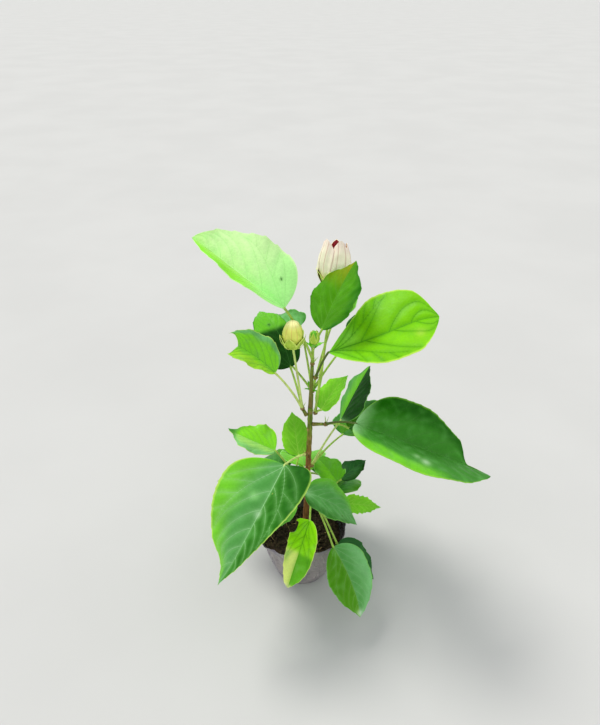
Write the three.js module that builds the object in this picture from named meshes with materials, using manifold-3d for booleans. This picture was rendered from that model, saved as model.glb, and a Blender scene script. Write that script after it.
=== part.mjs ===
// A young hibiscus shrub in a small nursery grow bag, in millimetres with +Z up.
// The origin is the centre of the bag's flat underside, and the shrub's best side looks along -Y.
import * as THREE from "three";
import Module from "manifold-3d";
import { mergeVertices } from "three/addons/utils/BufferGeometryUtils.js";

const wasm = await Module();
wasm.setup();

// The clear gap between neighbouring pieces
const GAP = 0.3;

// The grow bag and its soil
const BAG_FOOT_RADIUS = 30;
const BAG_MOUTH_RADIUS = 50;
const BAG_HEIGHT = 67;
const BAG_WALL = 0.9;
const BAG_FLOOR = 1.3;
const BAG_BELLY = 0.85;
const RIM_TILT = 9;
const RIM_HIGH_SIDE = 330;
const CRUMPLE = 1.1;
const CRUMPLE_COUNT = 7;
const SOIL_LEVEL = 52;
const SOIL_CLEARANCE = 0.6;
const SOIL_SHOULDER = { drop: 3, width: 8 };

// The main stem, from the soil to its fork
const STEM_POINTS = [[3, 0, SOIL_LEVEL + GAP], [4.6, -0.6, 98], [6, 0.4, 150], [7.4, -0.4, 196], [8, 0, 234]];
const STEM_RADIUS = 3.3;
const STEM_TIP_RADIUS = 2.5;
const ROOT_FLARE = 2.2;
const FLARE_HEIGHT = 18;

// Side shoots: the height where each leaves the stem, its azimuth and rise, its length, its end radii.
// The leader is the one that grows on from the top of the stem.
const SHOOTS = {
  leader_shoot: { height: 234, azimuth: 0, rise: 88.5, length: 49, radii: [2.2, 1.7] },
  left_shoot: { height: 226, azimuth: 205, rise: 66, length: 8, radii: [1.9, 1.7] },
  right_shoot: { height: 214, azimuth: 335, rise: 18, length: 12, radii: [1.9, 1.6] },
  upper_back_shoot: { height: 204, azimuth: 84, rise: 58, length: 36, radii: [2, 1.6] },
  front_shoot: { height: 136, azimuth: 282, rise: -12, length: 14, radii: [1.9, 1.6] },
  low_left_shoot: { height: 130, azimuth: 165, rise: 35, length: 9, radii: [1.9, 1.6] },
  low_right_shoot: { height: 106, azimuth: 24, rise: 14, length: 14, radii: [1.9, 1.6] },
  low_back_shoot: { height: 116, azimuth: 96, rise: 22, length: 18, radii: [1.9, 1.6] },
};

// Stalks and the swollen nodes that they spring from
const KNUCKLE_RADIUS = 2.4;
const STALK_RADIUS = 1.25;
const STALK_TIP_RADIUS = 0.95;
const STALK_BOW = 0.12;
const STALK_GRID = { sides: 5, steps: 6 };

// Blades: how thin for their length, how far a stalk is sunk in one, and how finely each is cut
const LEAF_THINNESS = 90;
const LEAF_SLIVER = 0.5;
const SUNK = 0.07;
const BLADE_GRID = { along: 6, half: 2 };
const YOUNG_GRID = { along: 3, half: 1 };

// The habit that every blade has unless its own entry says otherwise, in degrees and shares:
// fold is how far the left and right halves lift, curl how far they roll back down towards the edge,
// droop and swing how far the midrib bends down and to the left, full and tip the outline's roundness.
const HABIT = { fold: [14, 14], curl: -10, droop: 42, swing: 0, full: 0.45, tip: 0.85 };

// Turned forms, as shares of a radius and a height: a closed bud, and a bloom's petals and calyx
const BUD_FORM = [[0, 0], [0.55, 0.03], [0.9, 0.22], [1, 0.45], [0.9, 0.7], [0.6, 0.9], [0, 1]];
const PETAL_FORM = [[0, 0], [0.55, 0.04], [0.95, 0.42], [1, 0.62], [0.86, 0.8], [0.6, 0.94], [0, 1]];
const CALYX_FORM = [[0, 0], [0.55, 0], [0.78, 0.1], [0.86, 0.24], [0.9, 0.36], [0, 0.38]];
const BUD_SIDES = 9;
const BLOOM_SIDES = 10;

// One leaf: the point where the blade begins, its azimuth, rise and roll, its length and width
function leaf(base, lie, size, more = {}) {
  return { ...HABIT, base, lie, size, ...more };
}

// The masses of foliage. Each springs from a shoot's tip, or from a height on a shoot or on the stem.
const MASSES = {
  crown_tip: {
    from: { shoot: "leader_shoot" },
    twig: [0.4, 0, 16],
    leaves: [
      leaf([-16, -20, 354], [160, 40, -22], [108, 84],
        { along: 0.35, fold: [38, 36], curl: -6, droop: 18, full: 0.42, tip: 0.8 }),
      leaf([18, 0, 321], [40, 66, 2], [76, 50], { along: 1, fold: [10, 14], droop: 16, full: 0.5, tip: 0.8 }),
    ],
    buds: [{ along: 1, base: [11, -3, 311], radius: 4.6, height: 13 }],
    young: { count: 4, length: 13, seed: 11 },
  },
  crown_right: {
    from: { shoot: "leader_shoot", height: 272, azimuth: 326 },
    leaves: [
      leaf([24, -10, 303], [350, 4, 30], [116, 98],
        { fold: [30, 50], droop: -5, swing: 36, full: 0.8, tip: 0.55 }),
    ],
  },
  crown_left: {
    from: { shoot: "left_shoot" },
    leaves: [
      leaf([-26, -15, 286], [172, 45, -30], [58, 52], { fold: [55, 20], droop: 25, full: 0.4, tip: 0.65 }),
      leaf([-12, 10, 276], [140, 78, -20], [78, 46], { fold: [10, 10], droop: 95 }),
    ],
    buds: [{ base: [-9, -24, 319], radius: 9.8, height: 27 }],
  },
  crown_back: {
    from: { shoot: "upper_back_shoot" },
    leaves: [
      leaf([-2, 40, 318], [124, 48, 0], [82, 52], { droop: 50 }),
      leaf([32, 42, 314], [82, 30, 0], [60, 44]),
      leaf([50, 42, 290], [26, 16, 0], [78, 60]),
      leaf([-20, 50, 262], [126, 14, 0], [76, 58]),
    ],
    young: { count: 4, length: 12, seed: 5 },
  },
  flower_shoot: {
    from: { stem: 228, azimuth: 350 },
    leaves: [
      leaf([19, -7, 236], [40, 55, -10], [44, 30], { fold: [25, 10], droop: 30 }),
    ],
    blooms: [{ knee: [17, 3, 262], base: [30, 46, 345], tip: [31, 52, 395], radius: 14.5 }],
  },
  right_spray: {
    from: { shoot: "right_shoot" },
    leaves: [
      leaf([51, -30, 233], [342, -2, 15], [140, 88],
        { fold: [30, 24], curl: -20, droop: 25, swing: 2, full: 0.42, tip: 0.8 }),
      leaf([50, 22, 190], [22, 12, 0], [86, 66]),
    ],
  },
  middle_right: {
    from: { stem: 153, azimuth: 40 },
    leaves: [
      leaf([42, 30, 194], [60, 42, 0], [80, 54], { fold: [12, 12], droop: 20, tip: 0.9 }),
      leaf([46, 46, 168], [72, 6, 0], [76, 56]),
    ],
  },
  front_left: {
    from: { stem: 176, azimuth: 232 },
    leaves: [
      leaf([-18, -30, 180], [246, -20, -10], [130, 98],
        { fold: [34, 12], droop: 28, swing: -16, full: 0.34, tip: 0.95 }),
    ],
  },
  low_front: {
    from: { shoot: "front_shoot" },
    leaves: [
      leaf([3, -35, 148], [340, 2, 10], [63, 50], { fold: [8, 14], droop: 45 }),
      leaf([8, -35, 113], [252, 0, 0], [84, 40], { fold: [30, 12], curl: -30, droop: 90, tip: 0.7 }),
      leaf([33, -49, 83], [294, -10, -6], [76, 52],
        { fold: [0, 36], droop: 40, swing: 6, full: 0.42, tip: 0.7 }),
      leaf([37, -38, 92], [326, -10, 0], [54, 40], { fold: [8, 8], droop: 30 }),
      leaf([-9, -26, 134], [212, -14, 0], [64, 44], { fold: [8, 8], droop: 25 }),
    ],
  },
  low_left: {
    from: { shoot: "low_left_shoot" },
    leaves: [
      leaf([-29, 5, 170], [168, 25, -20], [58, 44], { fold: [35, 12], droop: 35 }),
      leaf([-4, 14, 159], [100, 40, 0], [52, 34], { fold: [12, 12], droop: 20 }),
      leaf([-34, 18, 116], [160, 4, 0], [76, 58]),
    ],
  },
  low_right: {
    from: { shoot: "low_right_shoot" },
    leaves: [
      leaf([40, 13, 120], [125, 28, 0], [44, 36], { droop: 35 }),
      leaf([44, 16, 121], [40, 25, 0], [40, 28], { droop: 30 }),
      leaf([47, 0, 100], [352, 3, 30], [40, 24], { droop: 20 }),
      leaf([38, 28, 90], [58, 0, 0], [58, 46]),
    ],
  },
  low_back: {
    from: { shoot: "low_back_shoot" },
    leaves: [
      leaf([2, 42, 118], [92, -10, 0], [78, 58]),
      leaf([-18, 46, 112], [130, -8, 0], [72, 54]),
      leaf([22, 44, 102], [68, -12, 0], [60, 46]),
    ],
    young: { count: 3, length: 12, seed: 23 },
  },
};

const UP = new THREE.Vector3(0, 0, 1);
const radians = THREE.MathUtils.degToRad;

// Unit vector of an azimuth (0 along +X, 90 along +Y) and a rise above level
function heading(azimuth, rise) {
  const a = radians(azimuth);
  const r = radians(rise);
  return new THREE.Vector3(Math.cos(r) * Math.cos(a), Math.cos(r) * Math.sin(a), Math.sin(r));
}

function pointOf(values) {
  return new THREE.Vector3(...values);
}

function taper(from, to) {
  return (t) => from + (to - from) * t;
}

// Small repeatable random numbers from 0 to 1
function seeded(seed) {
  const modulus = 2 ** 32;
  let state = seed;
  return () => {
    state = (state * 1664525 + 1013904223) % modulus;
    return state / modulus;
  };
}

function solidOf(geometry) {
  const bare = geometry.clone();
  bare.deleteAttribute("normal");
  bare.deleteAttribute("uv");
  const merged = mergeVertices(bare, 1e-4);
  const vertProperties = new Float32Array(merged.attributes.position.array);
  const triVerts = new Uint32Array(merged.index.array);
  return new wasm.Manifold(new wasm.Mesh({ numProp: 3, vertProperties, triVerts }));
}

function geometryOf(solid) {
  const mesh = solid.getMesh();
  const geometry = new THREE.BufferGeometry();
  geometry.setAttribute("position", new THREE.BufferAttribute(new Float32Array(mesh.vertProperties), 3));
  geometry.setIndex(new THREE.BufferAttribute(new Uint32Array(mesh.triVerts), 1));
  geometry.computeVertexNormals();
  return geometry;
}

function fuse(geometries) {
  const solids = geometries.map(solidOf);
  return geometryOf(solids.reduce((sum, solid) => sum.add(solid)));
}

// A closed limb: a cylinder whose rings are carried along a curve, with a radius for each place on it
function limb(curve, radiusAt, { sides, steps }) {
  const geometry = new THREE.CylinderGeometry(1, 1, 1, sides, steps);
  const frames = curve.computeFrenetFrames(steps, false);
  const position = geometry.attributes.position;
  for (let i = 0; i < position.count; i++) {
    const k = Math.round((position.getY(i) + 0.5) * steps);
    const t = k / steps;
    const spot = curve.getPoint(t);
    spot.addScaledVector(frames.normals[k], position.getZ(i) * radiusAt(t));
    spot.addScaledVector(frames.binormals[k], position.getX(i) * radiusAt(t));
    position.setXYZ(i, spot.x, spot.y, spot.z);
  }
  return geometry;
}

const stemCurve = new THREE.CatmullRomCurve3(STEM_POINTS.map(pointOf));
const stemFoot = STEM_POINTS[0][2];
const stemTop = STEM_POINTS.at(-1)[2];

// The stem's radius at a height: an even taper, with a flare over the first stretch
function stemRadius(height) {
  const plain = taper(STEM_RADIUS, STEM_TIP_RADIUS)((height - stemFoot) / (stemTop - stemFoot));
  const flare = Math.max(0, 1 - (height - stemFoot) / FLARE_HEIGHT);
  return plain + ROOT_FLARE * flare ** 2;
}

// The middle of the stem at a height, found by halving
function stemAt(height) {
  let low = 0;
  let high = 1;
  while (high - low > 1e-6) {
    const middle = (low + high) / 2;
    if (stemCurve.getPoint(middle).z < height) low = middle;
    else high = middle;
  }
  return stemCurve.getPoint(low);
}

function mainStem() {
  return limb(stemCurve, (t) => stemRadius(stemCurve.getPoint(t).z), { sides: 12, steps: 22 });
}

// A shoot's straight run; its flat root end stays clear of the stem's surface, however it is tilted
function shootLine(name) {
  const { height, azimuth, rise, length, radii } = SHOOTS[name];
  const start = stemAt(height);
  if (height === stemTop) {
    start.addScaledVector(UP, GAP * 2);
  } else {
    const tilt = radii[0] * Math.sin(Math.abs(radians(rise)));
    start.addScaledVector(heading(azimuth, 0), stemRadius(height) + GAP + tilt);
  }
  const end = start.clone().addScaledVector(heading(azimuth, rise), length);
  return new THREE.LineCurve3(start, end);
}

function shoot(name) {
  return limb(shootLine(name), taper(...SHOOTS[name].radii), { sides: 8, steps: 4 });
}

// The centre of the swollen node that a mass springs from, clear of the limb that carries it
function rootOf({ shoot: name, stem, height, azimuth }) {
  const clear = GAP + KNUCKLE_RADIUS;
  if (stem !== undefined) {
    return stemAt(stem).addScaledVector(heading(azimuth, 0), stemRadius(stem) + clear);
  }
  const line = shootLine(name);
  if (height === undefined) {
    return line.v2.clone().addScaledVector(line.getTangent(1), clear);
  }
  const t = (height - line.v1.z) / (line.v2.z - line.v1.z);
  return line.getPoint(t).addScaledVector(heading(azimuth, 0), taper(...SHOOTS[name].radii)(t) + clear);
}

// A stalk bows up between its node and the base of its blade, and ends sunk in the blade
function stalk(from, base, into, bow = STALK_BOW) {
  const middle = from.clone().add(base).multiplyScalar(0.5);
  middle.addScaledVector(UP, bow * from.distanceTo(base));
  const arc = new THREE.QuadraticBezierCurve3(from, middle, base);
  const curve = new THREE.CatmullRomCurve3([...arc.getPoints(4), into]);
  return limb(curve, taper(STALK_RADIUS, STALK_TIP_RADIUS), STALK_GRID);
}

// The midrib in even steps, each with the directions to the blade's left and out of its upper face
function midrib({ base, lie: [azimuth, rise, roll], size: [length], droop, swing }, steps) {
  const forward = heading(azimuth, rise);
  const side = heading(azimuth + 90, 0).applyAxisAngle(forward, radians(roll));
  const normal = forward.clone().cross(side);
  const bend = (share) => {
    forward.applyAxisAngle(side, radians(droop) * share);
    normal.applyAxisAngle(side, radians(droop) * share);
    forward.applyAxisAngle(normal, radians(swing) * share);
    side.applyAxisAngle(normal, radians(swing) * share);
  };
  const middle = pointOf(base);
  const rows = [{ middle: middle.clone(), side: side.clone(), normal: normal.clone() }];
  for (let i = 0; i < steps; i++) {
    bend(0.5 / steps);
    middle.addScaledVector(forward, length / steps);
    bend(0.5 / steps);
    rows.push({ middle: middle.clone(), side: side.clone(), normal: normal.clone() });
  }
  return rows;
}

// The blade's half width at a share of its length, as a share of its greatest
function outlineAt(u, full, tip) {
  const peak = (full / (full + tip)) ** full * (tip / (full + tip)) ** tip;
  return (u ** full * (1 - u) ** tip) / peak;
}

// A point on one half: an arc that leaves the midrib at the half's lift and rolls down by its curl
function acrossBlade(lift, curl, q) {
  const out = (Math.sin(lift + curl * q) - Math.sin(lift)) / curl;
  const up = (Math.cos(lift) - Math.cos(lift + curl * q)) / curl;
  return { out, up };
}

// A blade: a thin box whose grid of points is laid on the leaf's surface
function blade(entry, grid = BLADE_GRID) {
  const [length, width] = entry.size;
  const rows = midrib(entry, grid.along);
  const geometry = new THREE.BoxGeometry(1, 1, 1, grid.half * 2, grid.along, 1);
  const position = geometry.attributes.position;
  for (let i = 0; i < position.count; i++) {
    const k = Math.round((position.getY(i) + 0.5) * grid.along);
    const q = -position.getX(i) * 2;
    const { middle, side, normal } = rows[k];
    const share = outlineAt(k / grid.along, entry.full, entry.tip);
    const half = Math.max(LEAF_SLIVER, (width / 2) * share);
    const lift = radians(entry.fold[q > 0 ? 0 : 1]);
    const { out, up } = acrossBlade(lift, radians(entry.curl), Math.abs(q));
    const spot = middle.clone().addScaledVector(side, half * out * Math.sign(q));
    spot.addScaledVector(normal, half * up + (position.getZ(i) * length) / LEAF_THINNESS);
    position.setXYZ(i, spot.x, spot.y, spot.z);
  }
  return { geometry, into: rows[0].middle.clone().lerp(rows[1].middle, SUNK * grid.along) };
}

// A closed turned form from a profile of radius and height, stood on a base and pointed in a direction
function turned(profile, base, direction, sides) {
  const points = profile.map(([r, z]) => new THREE.Vector2(r, z));
  const turn = new THREE.Quaternion().setFromUnitVectors(new THREE.Vector3(0, 1, 0), direction);
  const geometry = new THREE.LatheGeometry(points, sides).applyQuaternion(turn);
  return geometry.translate(base.x, base.y, base.z);
}

function sized(form, radius, height) {
  return form.map(([r, z]) => [r * radius, z * height]);
}

// A closed bud in its green calyx, on a stiff straight stalk
function bud(from, { base, radius, height }) {
  const foot = pointOf(base);
  const into = foot.clone().addScaledVector(UP, height * 0.2);
  return [turned(sized(BUD_FORM, radius, height), foot, UP, BUD_SIDES), stalk(from, foot, into, STALK_BOW / 3)];
}

// A half-open bloom: rolled petals in a long calyx, on a stalk with a bend at its knee
function bloom(from, { knee, base, tip, radius }) {
  const foot = pointOf(base);
  const aim = pointOf(tip).sub(foot);
  const length = aim.length();
  aim.normalize();
  const into = foot.clone().addScaledVector(aim, length * 0.06);
  const curve = new THREE.CatmullRomCurve3([from, pointOf(knee), foot, into]);
  return [
    turned(sized(PETAL_FORM, radius, length), foot, aim, BLOOM_SIDES),
    turned(sized(CALYX_FORM, radius, length), foot, aim, BLOOM_SIDES),
    limb(curve, taper(STALK_RADIUS * 1.2, STALK_RADIUS), { sides: 6, steps: 9 }),
  ];
}

// Tiny leaves that unfold round a growing tip, dealt out by the seeded rule
function youngLeaves(tip, { count, length, seed }) {
  const random = seeded(seed);
  const pieces = [];
  for (let i = 0; i < count; i++) {
    const azimuth = (360 / count) * i + 40 * random();
    const rise = 35 + 35 * random();
    const reach = length * (0.75 + 0.5 * random());
    const base = tip.clone().addScaledVector(heading(azimuth, rise), STALK_RADIUS).toArray();
    const entry = leaf(base, [azimuth, rise, 0], [reach, reach / 2], { fold: [20, 20], droop: 30 });
    pieces.push(blade(entry, YOUNG_GRID).geometry);
  }
  return pieces;
}

// One mass: its swollen node, its twig if it has one, and every stalk, blade, bud and bloom, fused
function mass({ from, twig, leaves, buds = [], blooms = [], young }) {
  const root = rootOf(from);
  const tip = twig ? root.clone().add(pointOf(twig)) : root;
  const onTwig = (along = 0) => root.clone().lerp(tip, along);
  const knuckle = new THREE.SphereGeometry(KNUCKLE_RADIUS, 8, 6).translate(root.x, root.y, root.z);
  const pieces = [knuckle];
  if (twig) {
    const radii = taper(STALK_RADIUS * 1.4, STALK_RADIUS * 1.2);
    pieces.push(limb(new THREE.LineCurve3(root, tip), radii, { sides: 7, steps: 2 }));
  }
  for (const entry of leaves) {
    const { geometry, into } = blade(entry);
    pieces.push(geometry, stalk(onTwig(entry.along), pointOf(entry.base), into));
  }
  for (const entry of buds) pieces.push(...bud(onTwig(entry.along), entry));
  for (const entry of blooms) pieces.push(...bloom(root, entry));
  if (young) pieces.push(...youngLeaves(tip, young));
  return fuse(pieces);
}

// The bag stands a little out of round: crumples grow towards its mouth, and its rim is higher on one side
function slump(geometry) {
  const position = geometry.attributes.position;
  for (let i = 0; i < position.count; i++) {
    const [x, y, z] = [position.getX(i), position.getY(i), position.getZ(i)];
    const turn = Math.atan2(y, x);
    const high = z / BAG_HEIGHT;
    const crumple = CRUMPLE * high ** 2 * Math.sin(CRUMPLE_COUNT * turn);
    const grow = 1 + crumple / Math.max(Math.hypot(x, y), BAG_FOOT_RADIUS / 2);
    const rise = RIM_TILT * high ** 5 * Math.cos(turn - radians(RIM_HIGH_SIDE));
    position.setXYZ(i, x * grow, y * grow, z + rise);
  }
  return geometry;
}

// The bag's outer radius at a height
function bagRadius(height) {
  return BAG_FOOT_RADIUS + (BAG_MOUTH_RADIUS - BAG_FOOT_RADIUS) * (height / BAG_HEIGHT) ** BAG_BELLY;
}

function growBag() {
  const heights = [2.5, 14, 30, 46, 58, BAG_HEIGHT];
  const outside = heights.map((z) => [bagRadius(z), z]);
  const inside = heights.map((z) => [bagRadius(z) - BAG_WALL, z]).reverse();
  const sole = BAG_FOOT_RADIUS - 1;
  const profile = [[0, 0], [sole, 0], ...outside, ...inside, [sole - 1, BAG_FLOOR], [0, BAG_FLOOR]];
  return slump(turned(profile, new THREE.Vector3(), UP, 28));
}

function pottingSoil() {
  const inner = (z) => bagRadius(z) - BAG_WALL - SOIL_CLEARANCE;
  const floor = BAG_FLOOR + SOIL_CLEARANCE;
  const shoulder = SOIL_LEVEL - SOIL_SHOULDER.drop;
  const side = [4, 14, 30, 44, shoulder].map((z) => [inner(z), z]);
  const top = [[inner(shoulder) - SOIL_SHOULDER.width, SOIL_LEVEL], [0, SOIL_LEVEL]];
  return slump(turned([[0, floor], [inner(0) - 1, floor], ...side, ...top], new THREE.Vector3(), UP, 24));
}

// Materials, by what each piece is made of: colour and roughness
const FINISHES = {
  bag: ["#6b645f", 0.6],
  soil: ["#4a3826", 0.95],
  bark: ["#6a5228", 0.85],
  shoot: ["#9bb255", 0.7],
  foliage: ["#5c9a34", 0.75],
};

const shrub = new THREE.Group();

function place(name, geometry, finish) {
  const [color, roughness] = FINISHES[finish];
  const mesh = new THREE.Mesh(geometry, new THREE.MeshStandardMaterial({ color, roughness, metalness: 0 }));
  mesh.name = name;
  shrub.add(mesh);
}

place("grow_bag", growBag(), "bag");
place("potting_soil", pottingSoil(), "soil");
place("main_stem", mainStem(), "bark");
for (const name of Object.keys(SHOOTS)) place(name, shoot(name), "shoot");
for (const [name, entry] of Object.entries(MASSES)) place(name, mass(entry), "foliage");

export default shrub;
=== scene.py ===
"""A young hibiscus shrub in a small nursery grow bag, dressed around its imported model."""

import math

import bpy
import numpy as np
from mathutils import Matrix, Vector, noise


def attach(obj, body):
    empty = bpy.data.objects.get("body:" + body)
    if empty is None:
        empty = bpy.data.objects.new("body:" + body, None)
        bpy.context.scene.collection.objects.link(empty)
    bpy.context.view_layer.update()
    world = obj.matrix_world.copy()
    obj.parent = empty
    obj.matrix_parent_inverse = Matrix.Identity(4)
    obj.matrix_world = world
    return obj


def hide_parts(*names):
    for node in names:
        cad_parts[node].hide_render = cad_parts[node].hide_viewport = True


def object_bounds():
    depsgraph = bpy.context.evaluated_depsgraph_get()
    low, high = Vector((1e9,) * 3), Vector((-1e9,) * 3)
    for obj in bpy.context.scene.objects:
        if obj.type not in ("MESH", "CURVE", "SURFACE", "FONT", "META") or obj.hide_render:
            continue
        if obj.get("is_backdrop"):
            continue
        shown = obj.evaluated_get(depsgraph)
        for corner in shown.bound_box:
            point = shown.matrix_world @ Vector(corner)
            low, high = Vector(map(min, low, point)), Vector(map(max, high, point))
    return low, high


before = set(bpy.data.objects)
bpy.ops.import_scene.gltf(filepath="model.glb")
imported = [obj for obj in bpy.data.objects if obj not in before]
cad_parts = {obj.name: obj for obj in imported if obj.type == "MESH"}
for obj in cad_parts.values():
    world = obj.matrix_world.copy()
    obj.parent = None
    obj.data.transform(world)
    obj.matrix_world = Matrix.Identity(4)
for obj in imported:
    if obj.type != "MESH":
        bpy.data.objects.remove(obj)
cad_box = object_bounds()

# Sizes below are in millimetres and degrees, as in the part's own source, and meshes are made in metres.
MM = 0.001
UP = Vector((0, 0, 1))

# The grow bag and its soil
BAG_FOOT_RADIUS = 30
BAG_MOUTH_RADIUS = 50
BAG_HEIGHT = 67
BAG_BELLY = 0.85
BAG_FILM = 0.4
FILM_STEPS = 288
WALL_ROWS, SOLE_ROWS = 62, 10
RIM_TILT = 9
RIM_HIGH_SIDE = 330
CRUMPLE = 1.1
CRUMPLE_COUNT = 7
# How deep the film's upright pleats, its creases and its fine grain are
PLEAT_DEPTH, CREASE_DEPTH, GRAIN_DEPTH = 0.9, 0.9, 0.12
# Upright folds in the film: the azimuth of each, how far it stands out, and how wide it is in degrees
BAG_FOLDS = [(329, 1.8, 8), (284, -1.6, 7), (262, 1.6, 9), (232, -2.2, 9), (190, 2, 12), (150, -3, 9),
             (112, 2.2, 10), (75, -2.5, 8), (40, 2, 9), (8, -2, 10)]
# Dents and bulges: azimuth, width in degrees, height, spread in height, and how far it stands out
BAG_DENTS = [(306, 13, 54, 5.5, -2.6), (307, 14, 66, 4, 2.4), (224, 12, 48, 9, -2.4), (128, 15, 40, 10, -3),
             (58, 12, 52, 8, -3), (178, 12, 30, 8, -2), (286, 16, 24, 9, -1.8), (345, 14, 34, 9, -2)]
SOIL_LEVEL = 52
SOIL_CRUMBS = 420
SOIL_STRAWS = 26
SOIL_STEPS = 180
# How far the soil's edge lies below its level, how high its middle is heaped over that, and the heights
# of the rings that carry its side down inside the film
SOIL_DROP = 2.2
SOIL_HEAP = 1.6
SOIL_RINGS = (46, 39)

# The main stem, from the soil to its fork
GAP = 0.3
STEM_POINTS = [(3, 0, SOIL_LEVEL + GAP), (4.6, -0.6, 98), (6, 0.4, 150), (7.4, -0.4, 196), (8, 0, 234)]
STEM_RADIUS = 3.3
STEM_TIP_RADIUS = 2.5
ROOT_FLARE = 2.2
FLARE_HEIGHT = 18
# The heights between which the bark goes over from brown to green
STEM_TURNS_GREEN = (160, 225)
STEM_SIDES = 56
# How deep the bark's fine and broad furrows are, and the flutes at its foot
FINE_FURROWS, FURROWS = 0.16, 0.12
FLUTE_DEPTH = 0.45
# Old leaf scars on the stem: how far each swells and rings the stem, its reach, its height and azimuth
SCAR_SWELL, SCAR_RING, SCAR_REACH = 0.75, 0.22, 1.9
SCARS = [(64, 40), (76, 250), (90, 130), (112, 262), (124, 300), (146, 190), (164, 350), (176, 262),
         (188, 120), (196, 285), (207, 220), (220, 70), (229, 275)]

# Side shoots: the height where each leaves the stem, its azimuth and rise, its length, its end radii
SHOOTS = {
    "leader_shoot": dict(height=234, azimuth=0, rise=88.5, length=49, radii=(2.2, 1.7)),
    "left_shoot": dict(height=226, azimuth=205, rise=66, length=8, radii=(1.9, 1.7)),
    "right_shoot": dict(height=214, azimuth=335, rise=18, length=12, radii=(1.9, 1.6)),
    "upper_back_shoot": dict(height=204, azimuth=84, rise=58, length=36, radii=(2, 1.6)),
    "front_shoot": dict(height=136, azimuth=282, rise=-12, length=14, radii=(1.9, 1.6)),
    "low_left_shoot": dict(height=130, azimuth=165, rise=35, length=9, radii=(1.9, 1.6)),
    "low_right_shoot": dict(height=106, azimuth=24, rise=14, length=14, radii=(1.9, 1.6)),
    "low_back_shoot": dict(height=116, azimuth=96, rise=22, length=18, radii=(1.9, 1.6)),
}

# Stalks and the swollen nodes that they spring from
KNUCKLE_RADIUS = 2.4
STALK_RADIUS = 1.25
STALK_TIP_RADIUS = 0.95
STALK_BOW = 0.12
STALK_SIDES = 10
# A stalk goes on under its blade, to this share of the blade's length
SUNK = 0.07

# Blades: how finely they are cut, and how thick they are
RIB_STEPS = 64
LATE_START, LATE_SPAN = 0.72, 0.28
ROW_PITCH = 1.3
ACROSS = (0, 0.02, *np.linspace(0.06, 0.9, 20), 0.94, 0.97, 1)
LEAF_SLIVER = 0.3
LEAF_THICKNESS = 0.55
SMALL_LEAF = 20
# The long vein from the base on each side: how far along and across it goes, and how it bows
LONG_ALONG, LONG_ACROSS, LONG_BOW = 0.62, 0.86, 0.8
# A ridge on the upper face is this much as wide as the one on the underside
TOP_RIDGE = 0.75
# Veins: the valley that each lies in on the upper face, its glow there as (strength, reach), and its reach
# on the underside. A coloured margin runs along the edge, over the last shares of a half's width.
VALLEY_DEPTH, VALLEY_REACH = 1.6, 3.2
VEIN_GLOWS = ((0.3, 1.8), (0.25, 5))
UNDER_VEIN_REACH = 1.5
MARGIN_STRENGTH, MARGIN_BAND = 0.85, (0.94, 0.99)

# The habit that every blade has unless its own entry says otherwise. As in the source: fold is how far
# the left and right halves lift, curl how far they roll back down, droop and swing how far the midrib
# bends down and to the left, full and tip the outline's roundness. Finer here: late is a swing over the
# blade's last stretch, wide each half's share of the width, teeth the depth of the margin's teeth and
# pitch their spacing, wave the margin's, puff the quilting between veins, and ribs where the side veins
# leave the midrib. drip is how far each half narrows towards the tip, and where that starts and ends. cut
# is where the blade's end is bitten off and notch how deep. bites and holes are (side, along, reach, depth)
# and (across, along, radius), and spots are (tint, across, along, radius, strength). stalk is the stalk's
# tint.
PLAIN_TIP = ((0.18, 0.74, 0.9), (0.18, 0.74, 0.9))
HABIT = dict(
    fold=(14, 14), curl=-10, droop=42, swing=0, full=0.45, tip=0.85, late=0, wide=1, teeth=1.1, pitch=8.5,
    wave=1.4, puff=0.45, ribs=(0.2, 0.36, 0.51, 0.65, 0.78), drip=PLAIN_TIP, cut=1, notch=0, bites=(),
    holes=(), spots=(), stalk="stalk",
)

# Colours, as red, green and blue out of 255
PALETTE = {
    "pale": (216, 252, 176), "mint": (172, 238, 142), "spring": (172, 226, 108), "glow": (134, 222, 36),
    "lime": (122, 198, 4), "sunny": (172, 236, 36), "bright": (172, 255, 22), "butter": (240, 255, 136),
    "olive": (158, 150, 6), "leaf": (68, 138, 2), "fresh": (106, 190, 34), "mist": (120, 190, 114),
    "sea": (78, 150, 66), "green": (60, 136, 36), "deep": (46, 116, 26), "forest": (24, 94, 2),
    "night": (14, 62, 4), "teal": (36, 88, 42), "cream": (244, 246, 176), "cream_edge": (198, 226, 104),
    "lime_edge": (138, 196, 52), "white": (226, 240, 222), "white_vein": (168, 214, 158),
    "soft_vein": (124, 190, 86), "lime_vein": (182, 232, 96), "dark_vein": (60, 136, 4),
    "deep_vein": (100, 164, 82), "calyx": (176, 208, 66), "stalk": (172, 208, 84),
    "pale_stalk": (204, 224, 126), "dark_stalk": (84, 104, 36), "shoot": (112, 140, 40),
    "node": (132, 112, 52), "brown": (132, 88, 40), "scar": (180, 144, 98),
}


def look(left, right, vein="soft_vein", strength=0.4, margin="soft_vein", under="mist", zones=(), mottle=0.3):
    """One look. left and right are each a tint, or (tint by the midrib, tint by the margin, where the change
    begins, where it ends). zones lay a tint over one half (1 left, -1 right, 0 both), along the blade from
    one share of its length to another. mottle is how far the underside's tint shows in patches."""
    halves = [half if isinstance(half, tuple) else (half, half, 0, 1) for half in (left, right)]
    return dict(halves=halves, vein=vein, strength=strength, margin=margin, under=under, zones=zones,
                mottle=mottle)


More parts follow.
